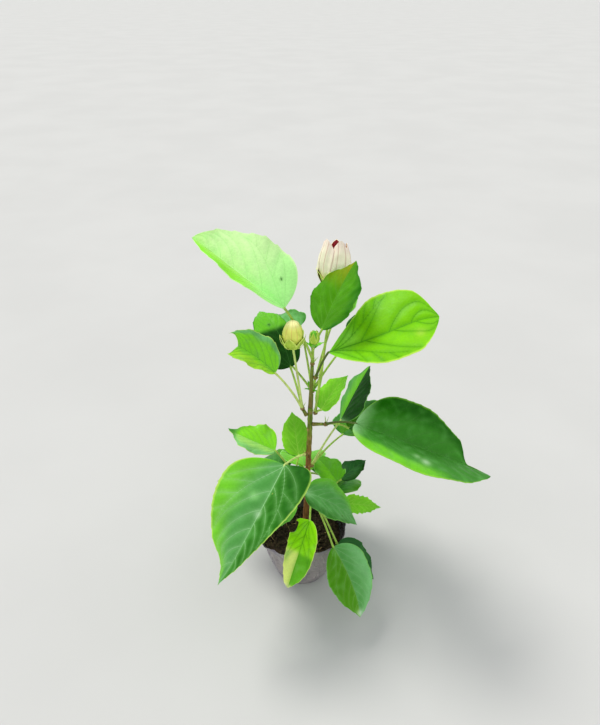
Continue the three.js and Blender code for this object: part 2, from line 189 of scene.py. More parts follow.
LOOKS = {
    "sunlit": look(("spring", "glow", 0.05, 0.8), "pale", vein="mint", strength=0.3, margin="pale",
                   under="mint", zones=[(0, "mint", 0.6, 0), (0, "spring", 0.75, 1.2)]),
    "upright": look("leaf", ("leaf", "forest", 0.4, 1.1), margin="leaf", under="fresh",
                    zones=[(1, "olive", 0.5, 1)]),
    "lime": look("lime", "lime", vein="dark_vein", strength=0.75, margin="cream_edge", under="fresh",
                 zones=[(0, "glow", 0.34, 0.1)]),
    "ragged": look(("glow", "sunny", 0.1, 0.6), ("glow", "mist", 0.6, 0.85), vein="deep_vein",
                   margin="cream_edge", zones=[(0, "olive", 0.96, 1.06)]),
    # Painted shade over the blade, with a painted band of light where it arches over into the light
    "shade_and_lit_crest": look("night", "night", vein="deep_vein", strength=0.25, margin="deep", under="deep",
                   zones=[(0, "fresh", 0.5, 0.6)], mottle=0.1),
    # The fresh strip at the right half's margin is painted light shining through the blade's edge
    "long": look(("green", "forest", 0.35, 0.8), ("green", "fresh", 0.62, 0.8), vein="deep_vein",
                 margin="lime_edge", zones=[(-1, "green", 0.5, 0.7), (0, "white_vein", 0.14, -0.04)]),
    # Painted light and shade: the left half is painted in shade, deep to forest, and the right half lit,
    # towards fresh at its margin
    "broad": look(("deep", "forest", 0.02, 0.5), ("sea", "fresh", 0.3, 0.9), vein="white_vein",
                  strength=0.75, margin="cream_edge", mottle=0.2),
    "sea": look(("sea", "fresh", 0.4, 1.1), ("sea", "deep", 0.4, 1), vein="white_vein", strength=0.35),
    # Painted light and shade: the bright blade is the sunlit upper lobe, and past the fold one half is
    # painted in shade and the other paler; the cream tip is the leaf's own
    "rolled": look("bright", "bright", vein="dark_vein", margin="butter", under="mint",
                   zones=[(1, "fresh", 0.44, 0.5), (-1, "butter", 0.4, 0.5), (0, "cream", 0.92, 1)]),
    # The left half paled towards mist is a painted reflection of the sky; the right half keeps the leaf's
    # green
    "sky_reflection_half": look(("sea", "mist", 0.1, 0.9), "leaf", vein="white_vein"),
    "shaded": look(("fresh", "sea", 0.2, 0.9), "night", vein="deep_vein", strength=0.2, mottle=0.1,
                   under="sea", zones=[(0, "white_vein", 0.1, 0)]),
    "dim": look("teal", ("teal", "night", 0.3, 0.9), strength=0.25, margin="deep", under="sea"),
    "green": look(("glow", "fresh", 0.3, 0.9), "fresh", margin="mint"),
    "dusky": look(("leaf", "deep", 0.3, 0.9), ("deep", "leaf", 0.3, 0.9), vein="deep_vein", strength=0.45,
                  under="sea"),
    "crumpled": look(("spring", "mist", 0.3, 0.9), "glow", strength=0.45, margin="cream_edge",
                     zones=[(0, "deep", 0.72, 0.95)]),
    "young": look(("fresh", "glow", 0.3, 1.1), "fresh", vein="lime_vein", strength=0.5, margin="sunny",
                  under="glow"),
}


def leaf(base, lie, size, look, **more):
    """One leaf: where its blade begins, its azimuth, rise and roll, its length and width, and its look."""
    return {**HABIT, "base": base, "lie": lie, "size": size, "look": look, **more}


MASSES = {}


def mass(name, root, leaves, **more):
    """Adds a mass of foliage that springs from a shoot's tip, or from a height on a shoot or on the stem."""
    MASSES[name] = dict(root=root, leaves=leaves, **more)


mass("crown_tip", dict(shoot="leader_shoot"), [
    leaf((-16, -20, 356), (156.2, 30.2, -19), (106, 84), "sunlit", along=0.35, fold=(44.7, 38.1), curl=-6,
         droop=6.8, swing=-5.9, late=6.6, full=(0.63, 0.4), tip=(0.8, 0.75), wide=(0.73, 0.98), teeth=1.5,
         pitch=13, wave=1.8, drip=((0.04, 0.8, 1), (-0.1, 0.8, 1)),
         # A dark spot painted in place of a hole: the shade seen through it
         spots=[("night", -0.5, 0.17, 1.2, 0.9)]),
    leaf((18, 0, 323.5), (38.2, 63.8, 0.3), (71, 50), "upright", along=1, fold=(6.9, 12.4), droop=14,
         late=-5.7, full=(0.61, 0.72), tip=(0.98, 0.67), wide=(1.17, 1.14), teeth=1.3,
         drip=((0.29, 0.68, 0.9), (0.27, 0.74, 0.9))),
], twig=(0.4, 0, 16), young=dict(count=4, length=13, seed=11),
     buds=[dict(along=1, base=(11, -3, 311), radius=4.6, height=13, shut=True)])
mass("crown_right", dict(shoot="leader_shoot", height=272, azimuth=326), [
    leaf((24, -10, 304.9), (356.1, 20.8, 33.8), (107, 98), "lime", fold=(2, 31.4), droop=6.1, swing=13.9,
         late=-27.3, full=(1.14, 0.94), tip=(0.72, 0.57), wide=(0.89, 0.91), teeth=0.6, puff=0.4,
         ribs=(0.3, 0.56, 0.76), stalk="dark_stalk", drip=((0.47, 0.84, 1), (-0.12, 0.8, 1)),
         # The mint spot near the base is a painted highlight of the leaf's gloss
         spots=[("cream_edge", -0.5, 0.8, 6, 0.6), ("mint", 0.5, 0.2, 12, 0.5)]),
])
mass("crown_left", dict(shoot="left_shoot"), [
    leaf((-26, -15, 285), (171.4, 48.8, -15.5), (55, 52), "ragged", fold=(25, 18.4), droop=21, swing=11.9,
         late=9.2, full=(0.62, 0.47), tip=(0.31, 0.72), wide=(0.87, 1), teeth=1.3, wave=1.6, cut=0.92,
         notch=0.2, drip=((-0.1, 0.78, 1), (-0.08, 0.8, 1)), stalk="pale_stalk"),
    # Blade in painted shade with a lit crest. Its dark spot is painted in place of a hole, as the shade seen
    # through it; the pale ring is the hole's rim
    leaf((-12, 10, 276), (140, 78, -20), (78, 46), "shade_and_lit_crest", fold=(10, 10), droop=95, wide=(1.2, 0.7),
         spots=[("mist", 0.2, 0.62, 2.6, 0.6), ("night", 0.2, 0.62, 1.2, 0.9)]),
], buds=[dict(base=(-9, -24, 319), radius=9.8, height=27)])
mass("crown_back", dict(shoot="upper_back_shoot"), [
    leaf((-2, 40, 306), (142, 6, 0), (56, 44), "sea", droop=46, wide=(0.7, 1)),
    leaf((32, 42, 314), (82, 30, 0), (60, 44), "green"),
    leaf((50, 42, 290), (26, 16, 0), (78, 60), "dusky"),
    leaf((-20, 50, 262), (126, 14, 0), (76, 58), "green"),
], young=dict(count=4, length=12, seed=5))
mass("flower_shoot", dict(stem=228, azimuth=350), [
    leaf((19, -7, 236), (40, 55, -10), (44, 30), "young", fold=(25, 10), droop=30),
], blooms=[dict(knee=(17, 3, 262), base=(30, 46, 345), tip=(31, 52, 395), radius=14.5)])
mass("right_spray", dict(shoot="right_shoot"), [
    leaf((51, -30, 236.7), (334.9, -5.5, 9.1), (137, 88), "long", fold=(28.3, 31.7), curl=-20, droop=19.7,
         swing=15.2, late=-8.9, full=(0.53, 0.45), tip=(1.16, 0.59), wide=(1, 1.05), teeth=0.7,
         stalk="dark_stalk", drip=((0.97, 0.73, 0.83), (0.31, 0.8, 1)),
         # The white spots are a painted highlight on the glossy blade
         spots=[("white", -0.6, 0.52, 4.5, 0.6), ("white", -0.5, 0.46, 3, 0.4)]),
    leaf((50, 22, 190), (22, 12, 0), (86, 66), "dusky"),
])
mass("middle_right", dict(stem=153, azimuth=40), [
    leaf((42, 30, 194.4), (50.4, 46.3, -20.3), (69, 54), "shaded", fold=(-11, 11.5), droop=11.4, swing=5.6,
         late=-2, full=(0.75, 0.47), tip=(0.55, 0.96), wide=(0.92, 1.02), stalk="pale_stalk",
         drip=((0.33, 0.77, 0.9), (0.18, 0.74, 0.9))),
    leaf((46, 46, 162), (52, 0, 0), (70, 52), "dusky"),
])
mass("front_left", dict(stem=176, azimuth=232), [
    leaf((-18, -30, 183.8), (245.3, -16.9, -8.9), (131.6, 98), "broad", fold=(36.9, 14.5), droop=23,
         swing=-7.1, late=-8.2, full=(0.28, 0.49), tip=(1.28, 1.01), wide=(0.88, 1.05), teeth=0.8,
         stalk="pale_stalk", drip=((-0.23, 0.73, 0.9), (0.42, 0.74, 0.9)), holes=[(0.12, 0.26, 0.9)],
         spots=[("white", 0, 0.44, 4, 0.6), ("mint", -0.25, 0.33, 5, 0.5)]),
])
mass("low_front", dict(shoot="front_shoot"), [
    leaf((3, -35, 150.2), (347.2, -4.8, 3.1), (66, 50), "sea", fold=(8.9, 15.3), droop=49.6, swing=-5.1,
         late=-5.5, full=(0.44, 0.55), tip=(0.93, 0.92), wide=(1.08, 0.98),
         drip=((0.41, 0.55, 0.9), (0.1, 0.74, 0.9)), holes=[(-0.34, 0.33, 0.9), (-0.52, 0.66, 1)],
         spots=[("white_vein", 0, 0.04, 5, 0.6)]),
    leaf((8, -35, 110.3), (249, -28.6, -1), (74.7, 40), "rolled", fold=(33.2, 11.2), curl=-30, droop=36.2,
         swing=-9, late=2.2, full=(0.59, 0.18), tip=(0.7, 0.48), wide=(0.96, 0.85), teeth=0.8,
         ribs=(0.2, 0.33), drip=((0.29, 0.77, 1), (0, 0.8, 1)), bites=[(-1, 0.15, 7, 8)]),
    # Half of this blade is paled by a painted sky reflection
    leaf((33, -49, 84.9), (303, -18.5, 0.1), (76, 52), "sky_reflection_half", fold=(-0.4, 15.3), droop=32, swing=-10,
         late=-11.7, full=(0.38, 0.78), tip=(0.71, 0.88), wide=(1.13, 1.02), teeth=0.9,
         drip=((0.31, 0.73, 1), (0.12, 0.8, 1)), spots=[("white", 0, 0.95, 4, 0.8)]),
    leaf((38, -39, 78), (326, -14, 0), (54, 42), "dim", fold=(8, 8), droop=30),
    leaf((-9, -26, 134), (212, -14, 0), (64, 44), "sea", fold=(8, 8), droop=25),
])
mass("low_left", dict(shoot="low_left_shoot"), [
    leaf((-29, 5, 173.2), (174.9, 25, -23.5), (56.5, 44), "crumpled", fold=(35.3, 5.7), droop=18.7,
         swing=-12.6, late=-11.2, full=(0.58, 0.51), tip=(0.68, 1.14), wide=(1.02, 1.1), teeth=1.6,
         wave=2.2, puff=0.8, drip=((0.58, 0.59, 0.9), (0.14, 0.74, 0.9))),
    leaf((-4, 14, 159), (100, 40, 0), (52, 34), "young", fold=(12, 12), droop=20),
    leaf((-34, 18, 116), (160, 4, 0), (76, 58), "dusky"),
])
mass("low_right", dict(shoot="low_right_shoot"), [
    leaf((40, 13, 120), (125, 28, 0), (44, 36), "green", droop=35, wave=2),
    leaf((44, 16, 121), (40, 25, 0), (40, 28), "dim", droop=30),
    leaf((47, 0, 100), (352, 3, 30), (42, 24), "young", droop=20, teeth=2.4, pitch=5, wave=1.8),
    leaf((38, 28, 90), (58, 0, 0), (58, 46), "dusky"),
])
mass("low_back", dict(shoot="low_back_shoot"), [
    leaf((2, 42, 118), (92, -10, 0), (78, 58), "green"),
    leaf((-18, 46, 112), (130, -8, 0), (72, 54), "dusky"),
    leaf((22, 44, 102), (68, -12, 0), (60, 46), "sea"),
], young=dict(count=3, length=12, seed=23))


def heading(azimuth, rise):
    """Unit vector of an azimuth (0 along +X, 90 along +Y) and a rise above level."""
    a, r = math.radians(azimuth), math.radians(rise)
    return Vector((math.cos(r) * math.cos(a), math.cos(r) * math.sin(a), math.sin(r)))


def seeded(seed):
    """Small repeatable random numbers from 0 to 1."""
    modulus = 2**32
    state = seed
    while True:
        state = (state * 1664525 + 1013904223) % modulus
        yield state / modulus


def smoothstep(low, high, x):
    t = np.clip((x - low) / (high - low), 0, 1)
    return t * t * (3 - 2 * t)


def bell(away, width):
    """A smooth bump, 1 where away is nought."""
    return np.exp(-((away / width) ** 2))


def shares(count):
    """So many even shares from 0 to 1."""
    return np.linspace(0, 1, count)


def circle(count):
    """So many even angles round a circle."""
    return np.linspace(0, 2 * np.pi, count, endpoint=False)


def around(x, y, turn):
    """The way out at each angle round an axis, where x and y are square to it."""
    return x * np.cos(turn)[..., None] + y * np.sin(turn)[..., None]


def ball(columns, rows, reach):
    """Points on a ball of radius 1, and the angle round it and the rise of each."""
    turn, rise = np.meshgrid(circle(columns), np.linspace(-reach, reach, rows))
    return np.stack([np.cos(rise) * np.cos(turn), np.cos(rise) * np.sin(turn), np.sin(rise)], -1), turn, rise


def placed(name, data):
    """A new object in the scene."""
    made = bpy.data.objects.new(name, data)
    bpy.context.scene.collection.objects.link(made)
    return made


def unit(vectors):
    return vectors / np.maximum(np.linalg.norm(vectors, axis=-1, keepdims=True), 1e-9)


def lobes(turn, azimuth, width):
    """A smooth bump round one azimuth, both in degrees, where turn is in radians."""
    away = (np.degrees(turn) - azimuth + 180) % 360 - 180
    return bell(away, width)


def pair(value):
    """The left half's value and the right half's."""
    return value if isinstance(value, tuple) else (value, value)


def tone(name):
    return np.array(PALETTE[name], float)


def blend(first, last, share):
    """Two tints mixed, where share is one number or a grid of them."""
    return first + (last - first) * np.asarray(share)[..., None]


def to_linear(colour):
    """A tint out of 255 as the shader's own red, green and blue."""
    share = np.clip(np.asarray(colour, float) / 255, 0, 1)
    return np.where(share <= 0.04045, share / 12.92, ((share + 0.055) / 1.055) ** 2.4)


WHITE = np.array((255.0, 255.0, 255.0))


class Piece:
    """One joined mesh in the making. Its sheets are grids of points in millimetres."""

    def __init__(self, name):
        self.name = name
        self.points = []
        self.tints = []
        self.faces = []
        self.slots = []
        self.places = []
        self.charts = []
        self.finishes = []
        self.count = 0

    def grid(self, points, finish, tint=WHITE, closed=False, flip=False, kept=None, place=None):
        """Adds a sheet from points[row, column] in one material. tint is each point's colour, place its
        across and along, and closed joins the last column to the first."""
        rows, columns = points.shape[:2]
        i, j = np.meshgrid(np.arange(rows - 1), np.arange(columns - 1 + closed), indexing="ij")
        corner_rows = np.stack([i, i, i + 1, i + 1], -1)
        corner_columns = np.stack([j, j + 1, j + 1, j], -1)
        if flip:
            corner_rows, corner_columns = corner_rows[..., ::-1], corner_columns[..., ::-1]
        kept = np.ones(i.shape, bool) if kept is None else kept
        if finish not in self.finishes:
            self.finishes.append(finish)
        if place is None:
            x, y = np.meshgrid(shares(columns + closed), shares(rows))
            place = np.stack([x, y], -1)
        width = np.linalg.norm(np.diff(points, axis=1), axis=-1).sum(1).max()
        height = np.linalg.norm(np.diff(points, axis=0), axis=-1).sum(0).max()
        across = corner_columns / (columns - 1 + closed) * width
        chart = np.stack([across, corner_rows / (rows - 1) * height], -1)
        self.points.append(points.reshape(-1, 3))
        self.tints.append(np.broadcast_to(tint, points.shape).reshape(-1, 3))
        self.faces.append((self.count + corner_rows * columns + corner_columns % columns)[kept])
        self.slots.append(np.full(kept.sum(), self.finishes.index(finish), np.int32))
        self.places.append(place[corner_rows, corner_columns][kept])
        self.charts.append((chart[kept], width, height))
        self.count += rows * columns

    def sheet(self, points, thickness, finish, tints=(WHITE,) * 3, closed=False, kept=None, place=None):
        """Adds a thin closed sheet: its upper side, its lower side and its rim, each with its own material
        and tint. Both sides lie half a thickness from points."""
        out = normals_of(points, closed)
        lift = out * np.broadcast_to(thickness, points.shape[:2])[..., None] / 2
        top, bottom = points + lift, points - lift
        self.grid(top, finish[0], tints[0], closed, False, kept, place)
        self.grid(bottom, finish[1], tints[1], closed, True, kept, place)
        borders = [(0, slice(None)), (-1, slice(None))]
        if not closed:
            borders += [(slice(None), 0), (slice(None), -1)]
        for n, border in enumerate(borders):
            self.grid(np.stack([bottom[border], top[border]]), finish[2], tints[2], closed, n in (1, 2))
        return top, bottom, out

    def build(self):
        """Makes the Blender object, with its tints, its pattern map and a neat map for baking."""
        mesh = bpy.data.meshes.new(self.name)
        faces = np.concatenate(self.faces)
        mesh.from_pydata((np.concatenate(self.points) * MM).tolist(), [], faces.tolist())
        mesh.polygons.foreach_set("material_index", np.concatenate(self.slots))
        mesh.polygons.foreach_set("use_smooth", np.ones(len(faces), bool))
        for finish in self.finishes:
            mesh.materials.append(finish)
        tints = to_linear(np.concatenate(self.tints))
        alpha = np.ones((len(tints), 1))
        layer = mesh.color_attributes.new("tint", "FLOAT_COLOR", "POINT")
        layer.data.foreach_set("color", np.concatenate([tints, alpha], 1).astype(np.float32).ravel())
        places = np.concatenate(self.places).astype(np.float32)
        mesh.uv_layers.new(name="place").uv.foreach_set("vector", places.ravel())
        mesh.uv_layers.new(name="OFBake").uv.foreach_set("vector", self.laid_out().ravel())
        mesh.update()
        return placed(self.name, mesh)

    def laid_out(self):
        """Every sheet's own place on one square map, in shelves from the tallest down."""
        side = math.sqrt(sum((w + 1) * (h + 1) for _, w, h in self.charts)) * 1.12
        spots = [None] * len(self.charts)
        x = y = shelf = 0
        for n in sorted(range(len(self.charts)), key=lambda k: -self.charts[k][2]):
            _, width, height = self.charts[n]
            if x + width > side:
                x, y, shelf = 0, y + shelf + 1, 0
            spots[n] = (x, y)
            x += width + 1
            shelf = max(shelf, height)
        extent = max(side, y + shelf) + 1
        parts = [(chart + spot + 0.5) / extent for (chart, _, _), spot in zip(self.charts, spots)]
        return np.concatenate(parts).astype(np.float32)


def normals_of(points, closed=False):
    """The way out of a grid's upper side at each point, by the points round it."""
    if closed:
        wide = np.concatenate([points[:, -1:], points, points[:, :1]], 1)
        across = (wide[:, 2:] - wide[:, :-2]) / 2
    else:
        across = np.gradient(points, axis=1)
    along = np.gradient(points, axis=0)
    out = unit(np.cross(across, along))
    out[0], out[-1] = out[1], out[-2]
    return out


def tube(piece, path, radii, sides, finish, first, last=None, relief=0):
    """A closed tube along a path, rounded off at its ends, whose tint goes from first to last. relief adds
    millimetres to each point's radius."""
    path, radii = np.asarray(path, float), np.asarray(radii, float)
    ahead = unit(np.gradient(path, axis=0))
    normal = np.cross(ahead[0], (0.31, 0.95, 0.02))
    normals = []
    for direction in ahead:
        normal = normal - direction * (normal @ direction)
        normal = normal / np.linalg.norm(normal)
        normals.append(normal)
    normals = np.array(normals)
    binormals = np.cross(ahead, normals)
    spokes = around(normals[:, None], binormals[:, None], circle(sides))
    rings = path[:, None] + spokes * (radii[:, None] + relief)[..., None]
    start = path[:1, None] - ahead[:1, None] * radii[0] * 0.25
    end = path[-1:, None] + ahead[-1:, None] * radii[-1] * 0.25
    caps = [end + (rings[-1:] - end) * share for share in (0.7, 0.02)]
    hubs = [start + (rings[:1] - start) * share for share in (0.02, 0.7)]
    points = np.concatenate([*hubs, rings, *caps])
    share = shares(len(points))[:, None]
    tint = blend(tone(first), tone(last or first), share)
    piece.grid(points, finish, tint, closed=True)


def smooth_path(points, per_span):
    """A curve through points, with so many steps from each to the next."""
    points = np.asarray(points, float)
    ends = np.concatenate([[2 * points[0] - points[1]], points, [2 * points[-1] - points[-2]]])
    t = np.linspace(0, 1, per_span, endpoint=False)[:, None]
    spans = []
    for a, b, c, d in zip(ends, ends[1:], ends[2:], ends[3:]):
        bend, turn = 2 * a - 5 * b + 4 * c - d, 3 * b - a - 3 * c + d
        spans.append(0.5 * (2 * b + (c - a) * t + bend * t**2 + turn * t**3))
    return np.concatenate([*spans, points[-1:]])


STEM_PATH = smooth_path(STEM_POINTS, 60)


def stem_at(height):
    """The middle of the stem at a height."""
    heights = STEM_PATH[:, 2]
    return Vector([float(np.interp(height, heights, STEM_PATH[:, k])) for k in range(3)])


def stem_radius(height):
    """The stem's radius at a height: an even taper, with a flare over the first stretch."""
    foot, top = STEM_POINTS[0][2], STEM_POINTS[-1][2]
    plain = STEM_RADIUS + (STEM_TIP_RADIUS - STEM_RADIUS) * (height - foot) / (top - foot)
    flare = np.maximum(0, 1 - (height - foot) / FLARE_HEIGHT)
    return plain + ROOT_FLARE * flare**2


def shoot_line(name):
    """A shoot's straight run, as in the source: its root end stays clear of the stem's surface."""
    shoot = SHOOTS[name]
    height = shoot["height"]
    start = stem_at(height)
    if height == STEM_POINTS[-1][2]:
        start += UP * GAP * 2
    else:
        tilt = shoot["radii"][0] * math.sin(abs(math.radians(shoot["rise"])))
        start += heading(shoot["azimuth"], 0) * (float(stem_radius(height)) + GAP + tilt)
    return start, start + heading(shoot["azimuth"], shoot["rise"]) * shoot["length"]


def root_of(root):
    """The centre of the swollen node that a mass springs from."""
    clear = GAP + KNUCKLE_RADIUS
    if "stem" in root:
        away = float(stem_radius(root["stem"])) + clear
        return stem_at(root["stem"]) + heading(root["azimuth"], 0) * away
    start, end = shoot_line(root["shoot"])
    if "height" not in root:
        return end + (end - start).normalized() * clear
    share = (root["height"] - start.z) / (end.z - start.z)
    first, last = SHOOTS[root["shoot"]]["radii"]
    radius = first + (last - first) * share
    return start.lerp(end, share) + heading(root["azimuth"], 0) * (radius + clear)


def outline(u, full, tip):
    """The blade's half width at a share of its length, as a share of its greatest."""
    peak = (full / (full + tip)) ** full * (tip / (full + tip)) ** tip
    return u**full * (1 - u) ** tip / peak


class Blade:
    """One leaf blade's surface, by the source's rule, with its teeth, waves, bites and quilting."""

    def __init__(self, entry, seed):
        self.entry = entry
        self.length, self.width = entry["size"]
        numbers = seeded(seed)
        self.phase = [next(numbers) for _ in range(4)]
        self.middles, self.sides, self.normals = self.midrib()

    def midrib(self):
        azimuth, rise, roll = self.entry["lie"]
        forward = heading(azimuth, rise)
        side = Matrix.Rotation(math.radians(roll), 3, forward) @ heading(azimuth + 90, 0)
        normal = forward.cross(side)
        point = Vector(self.entry["base"])
        rows = [(point.copy(), side.copy(), normal.copy())]
        droop = math.radians(self.entry["droop"]) / RIB_STEPS
        for step in range(RIB_STEPS):
            late = self.entry["late"] / LATE_SPAN if step / RIB_STEPS >= LATE_START else 0
            swing = math.radians(self.entry["swing"] + late) / RIB_STEPS
            for stage in range(2):
                sag = Matrix.Rotation(droop / 2, 3, side)
                forward, normal = sag @ forward, sag @ normal
                veer = Matrix.Rotation(swing / 2, 3, normal)
                forward, side = veer @ forward, veer @ side
                if stage == 0:
                    point += forward * (self.length / RIB_STEPS)
            rows.append((point.copy(), side.copy(), normal.copy()))
        return [np.array([list(row[k]) for row in rows]) for k in range(3)]

    def on_rib(self, table, u):
        k = np.clip(u, 0, 1) * RIB_STEPS
        i = np.minimum(k.astype(int), RIB_STEPS - 1)
        f = (k - i)[..., None]
        return table[i] * (1 - f) + table[i + 1] * f

    def half(self, u, right):
        """The plain half width of the left half (0) or the right half (1)."""
        e = self.entry
        share, start, end = e["drip"][right]
        full, tip, wide = (pair(e[key])[right] for key in ("full", "tip", "wide"))
        cut = outline(np.clip(u * e["cut"], 0, 1), full, tip)
        return self.width / 2 * wide * cut * (1 - share * smoothstep(start, end, u))

    def both(self, u, v):
        """The plain half width at places on either half."""
        return np.where(v > 0, self.half(u, 0), self.half(u, 1))

    def reach(self, u, v):
        """The half width at each place, with the margin's teeth and bites."""
        e = self.entry
        edge = np.abs(v) ** 4
        turns = u * self.length / e["pitch"] + np.where(v > 0, self.phase[0], self.phase[1])
        saw = (turns % 1) ** 1.5
        half = self.both(u, v) - e["teeth"] * (1 - saw) * smoothstep(0.1, 0.35, u) * edge
        for side, place, size, depth in e["bites"]:
            away = (u - place) * self.length / size
            half = half - depth * np.sqrt(np.clip(1 - away**2, 0, 1)) * (v * side > 0) * edge
        return np.maximum(half, LEAF_SLIVER)

    def lay(self, u, v, relief=0):
        """The places on the blade's middle surface."""
        e = self.entry
        q = np.abs(v)
        u = u * (1 - e["notch"] * (1 - q) ** 0.8 * u**5)
        lift = np.radians(np.where(v > 0, e["fold"][0], e["fold"][1]))
        curl = math.radians(e["curl"])
        out = (np.sin(lift + curl * q) - np.sin(lift)) / curl
        up = (np.cos(lift) - np.cos(lift + curl * q)) / curl
        half = self.reach(u, v)
        beat = np.where(v > 0, self.phase[2], self.phase[3])
        wave = e["wave"] * q**3 * np.sin(2 * np.pi * (2.6 * u + beat)) * (4 * u * (1 - u))
        across = (half * out * np.sign(v))[..., None]
        above = (half * up + wave + relief)[..., None]
        middle, side, normal = (self.on_rib(table, u) for table in (self.middles, self.sides, self.normals))
        return middle + side * across + normal * above

    def veins(self):
        """Each vein as a run of (along, across) and its width at the start: the midrib, two from the base on
        each side with their branches, and side veins that end on the long one from the base."""
        runs = [(np.linspace(0.005, 0.985, 60), np.zeros(60), 1.7)]
        if self.length < SMALL_LEAF:
            return runs
        q = shares(20)
        for side in (1, -1):
            long_u, long_v = 0.01 + LONG_ALONG * q, LONG_ACROSS * q**LONG_BOW
            runs.append((long_u, side * long_v, 1))
            runs.append((0.006 + 0.27 * q, side * 0.88 * q**0.62, 0.7))
            for start in (7, 11, 15):
                u, v = long_u[start], long_v[start]
                far = shares(9)
                runs.append((u + (0.1 - 0.003 * start) * far, side * (v + (0.93 - v) * far), 0.45))
            for k, start in enumerate(self.entry["ribs"]):
                foot = start + (0.04 if side < 0 else 0)
                gain = 1.1 * self.both(min(foot + 0.05, 0.95), side) / self.length
                u, v = np.minimum(foot + gain * q**1.2, 0.985), 0.9 * q
                limit = LONG_ACROSS * np.clip((u - 0.01) / LONG_ALONG, 0, 1) ** LONG_BOW
                inside = (u > LONG_ALONG) | (v < limit)
                stop = len(q) if inside[1:].all() else int(inside[1:].argmin()) + 2
                if stop > 3:
                    runs.append((u[:stop], side * v[:stop], 0.8 - 0.06 * k))
        return runs

    def relief(self, u, v):
        """How far each place is from a vein, and the upper face's relief: a valley along each vein and a
        swelling between them."""
        s, t = u * self.length, v * self.both(u, v)
        nearest = np.full(u.shape, 1e9)
        for along, across, width in self.veins():
            x, y = along * self.length, across * self.both(along, across)
            gap = np.hypot(s[..., None] - x, t[..., None] - y).min(-1) + 0.5 * (1 - width)
            nearest = np.minimum(nearest, gap)
        swell = 1 - VALLEY_DEPTH * bell(nearest, VALLEY_REACH)
        return nearest, self.entry["puff"] * swell * np.minimum(1, 12 * u * (1 - u))

    def painted(self, u, v, nearest):
        """The tint of the upper face at each place, with the light, shade and highlights that some looks and
        spots paint in.
        """
        e, look = self.entry, LOOKS[self.entry["look"]]
        q = np.abs(v)
        drift = 0.05 * np.sin(9 * u + 6 * self.phase[2]) + 0.03 * np.sin(23 * u + 6 * self.phase[3])
        spread = np.stack([u * self.length, v * self.both(u, v), 0 * u], -1)
        mottle = np.clip(1.6 * ripple(spread, 8, 1, 90 * self.phase[0]), 0, 1)
        halves = [blend(tone(near), tone(far), smoothstep(start, end, q + drift))
                  for near, far, start, end in look["halves"]]
        tint = np.where((v > 0)[..., None], *halves)
        for half, name, start, end in look["zones"]:
            within = (v * half > 0) | (half == 0)
            tint = blend(tint, tone(name), smoothstep(start, end, u + drift / 2) * within)
        tint = blend(tint, tone(look["under"]), look["mottle"] * mottle)
        for name, across, along, size, strength in e["spots"]:
            centre = across * self.both(along, across)
            away = np.hypot((u - along) * self.length, v * self.both(u, v) - centre)
            tint = blend(tint, tone(name), strength * bell(away, size))
        halo = sum(strength * bell(nearest, reach) for strength, reach in VEIN_GLOWS)
        tint = blend(tint, tone(look["vein"]), look["strength"] * halo)
        return blend(tint, tone(look["margin"]), MARGIN_STRENGTH * smoothstep(*MARGIN_BAND, q))


def add_blade(piece, blade):
    """One leaf blade with its veins, laid into a piece."""
    entry, look = blade.entry, LOOKS[blade.entry["look"]]
    small = min(1, blade.length / 40)
    count = max(14, round(blade.length / ROW_PITCH))
    t = shares(count + 1)
    # Rows lie closer together towards both ends
    rows = 0.5 * t + 0.25 * (1 - np.cos(np.pi * t))
    columns = np.array([-v for v in ACROSS[:0:-1]] + list(ACROSS))[::-1]
    u, v = np.meshgrid(rows, columns, indexing="ij")
    kept = np.ones((count, len(columns) - 1), bool)
    holes = []
    for across, along, radius in entry["holes"]:
        i, j = int(np.abs(rows - along).argmin()), int(np.abs(columns - across).argmin())
        half = float(blade.both(rows[i], across))
        ring = [(-1, -1), (-1, 0), (-1, 1), (0, 1), (1, 1), (1, 0), (1, -1), (0, -1)]
        for di, dj in ring:
            u[i + di, j + dj] = rows[i] + radius * di / math.hypot(di, dj) / blade.length
            v[i + di, j + dj] = columns[j] - radius * dj / math.hypot(di, dj) / half
        kept[i - 1 : i + 1, j - 1 : j + 1] = False
        holes.append(([i + di for di, _ in ring], [j + dj for _, dj in ring]))
    nearest, relief = blade.relief(u, v)
    points = blade.lay(u, v, relief)
    thickness = LEAF_THICKNESS * small * (1 - 0.45 * np.abs(v) ** 3)
    tint = blade.painted(u, v, nearest)
    under = blend(tone(look["under"]), tone("white_vein"), 0.5 * bell(nearest, UNDER_VEIN_REACH))
    margin = tone(look["margin"])
    trio = (finishes["blade"], finishes["underside"], finishes["vein"])
    top, bottom, out = piece.sheet(points, thickness, trio, (tint, under, margin), kept=kept)
    for i, j in holes:
        piece.grid(np.stack([top[i, j], bottom[i, j]]), finishes["vein"], margin, closed=True)
    for along, across, width in blade.veins():
        i = np.interp(along, rows, np.arange(len(rows)))
        run = (i, np.interp(-across, -columns, np.arange(len(columns))))
        fade = look["strength"] * (1 - 0.5 * shares(len(along)))
        line = blend(on_grid(tint, *run), tone(look["vein"]), fade)
        rib = blend(on_grid(under, *run), tone("white_vein"), 0.4 * fade)
        ridge(piece, on_grid(top, *run), on_grid(out, *run), width * TOP_RIDGE * small, line)
        ridge(piece, on_grid(bottom, *run), -on_grid(out, *run), width * small, rib)


def ridge(piece, path, out, width, tint):
    """A vein's ridge on one face of a blade, tapering from its start."""
    out = unit(out)
    beside = unit(np.cross(out, np.gradient(path, axis=0)))
    size = (width * (1 - 0.75 * shares(len(path)) ** 0.8))[:, None]
    foot, crown = out * 0.05, out * (size * 0.18 + 0.12)
    points = np.stack([path - beside * size / 2 - foot, path - beside * size / 4 + crown,
                       path + beside * size / 4 + crown, path + beside * size / 2 - foot], 1)
    piece.grid(points[:, ::-1], finishes["vein"], tint[:, None])


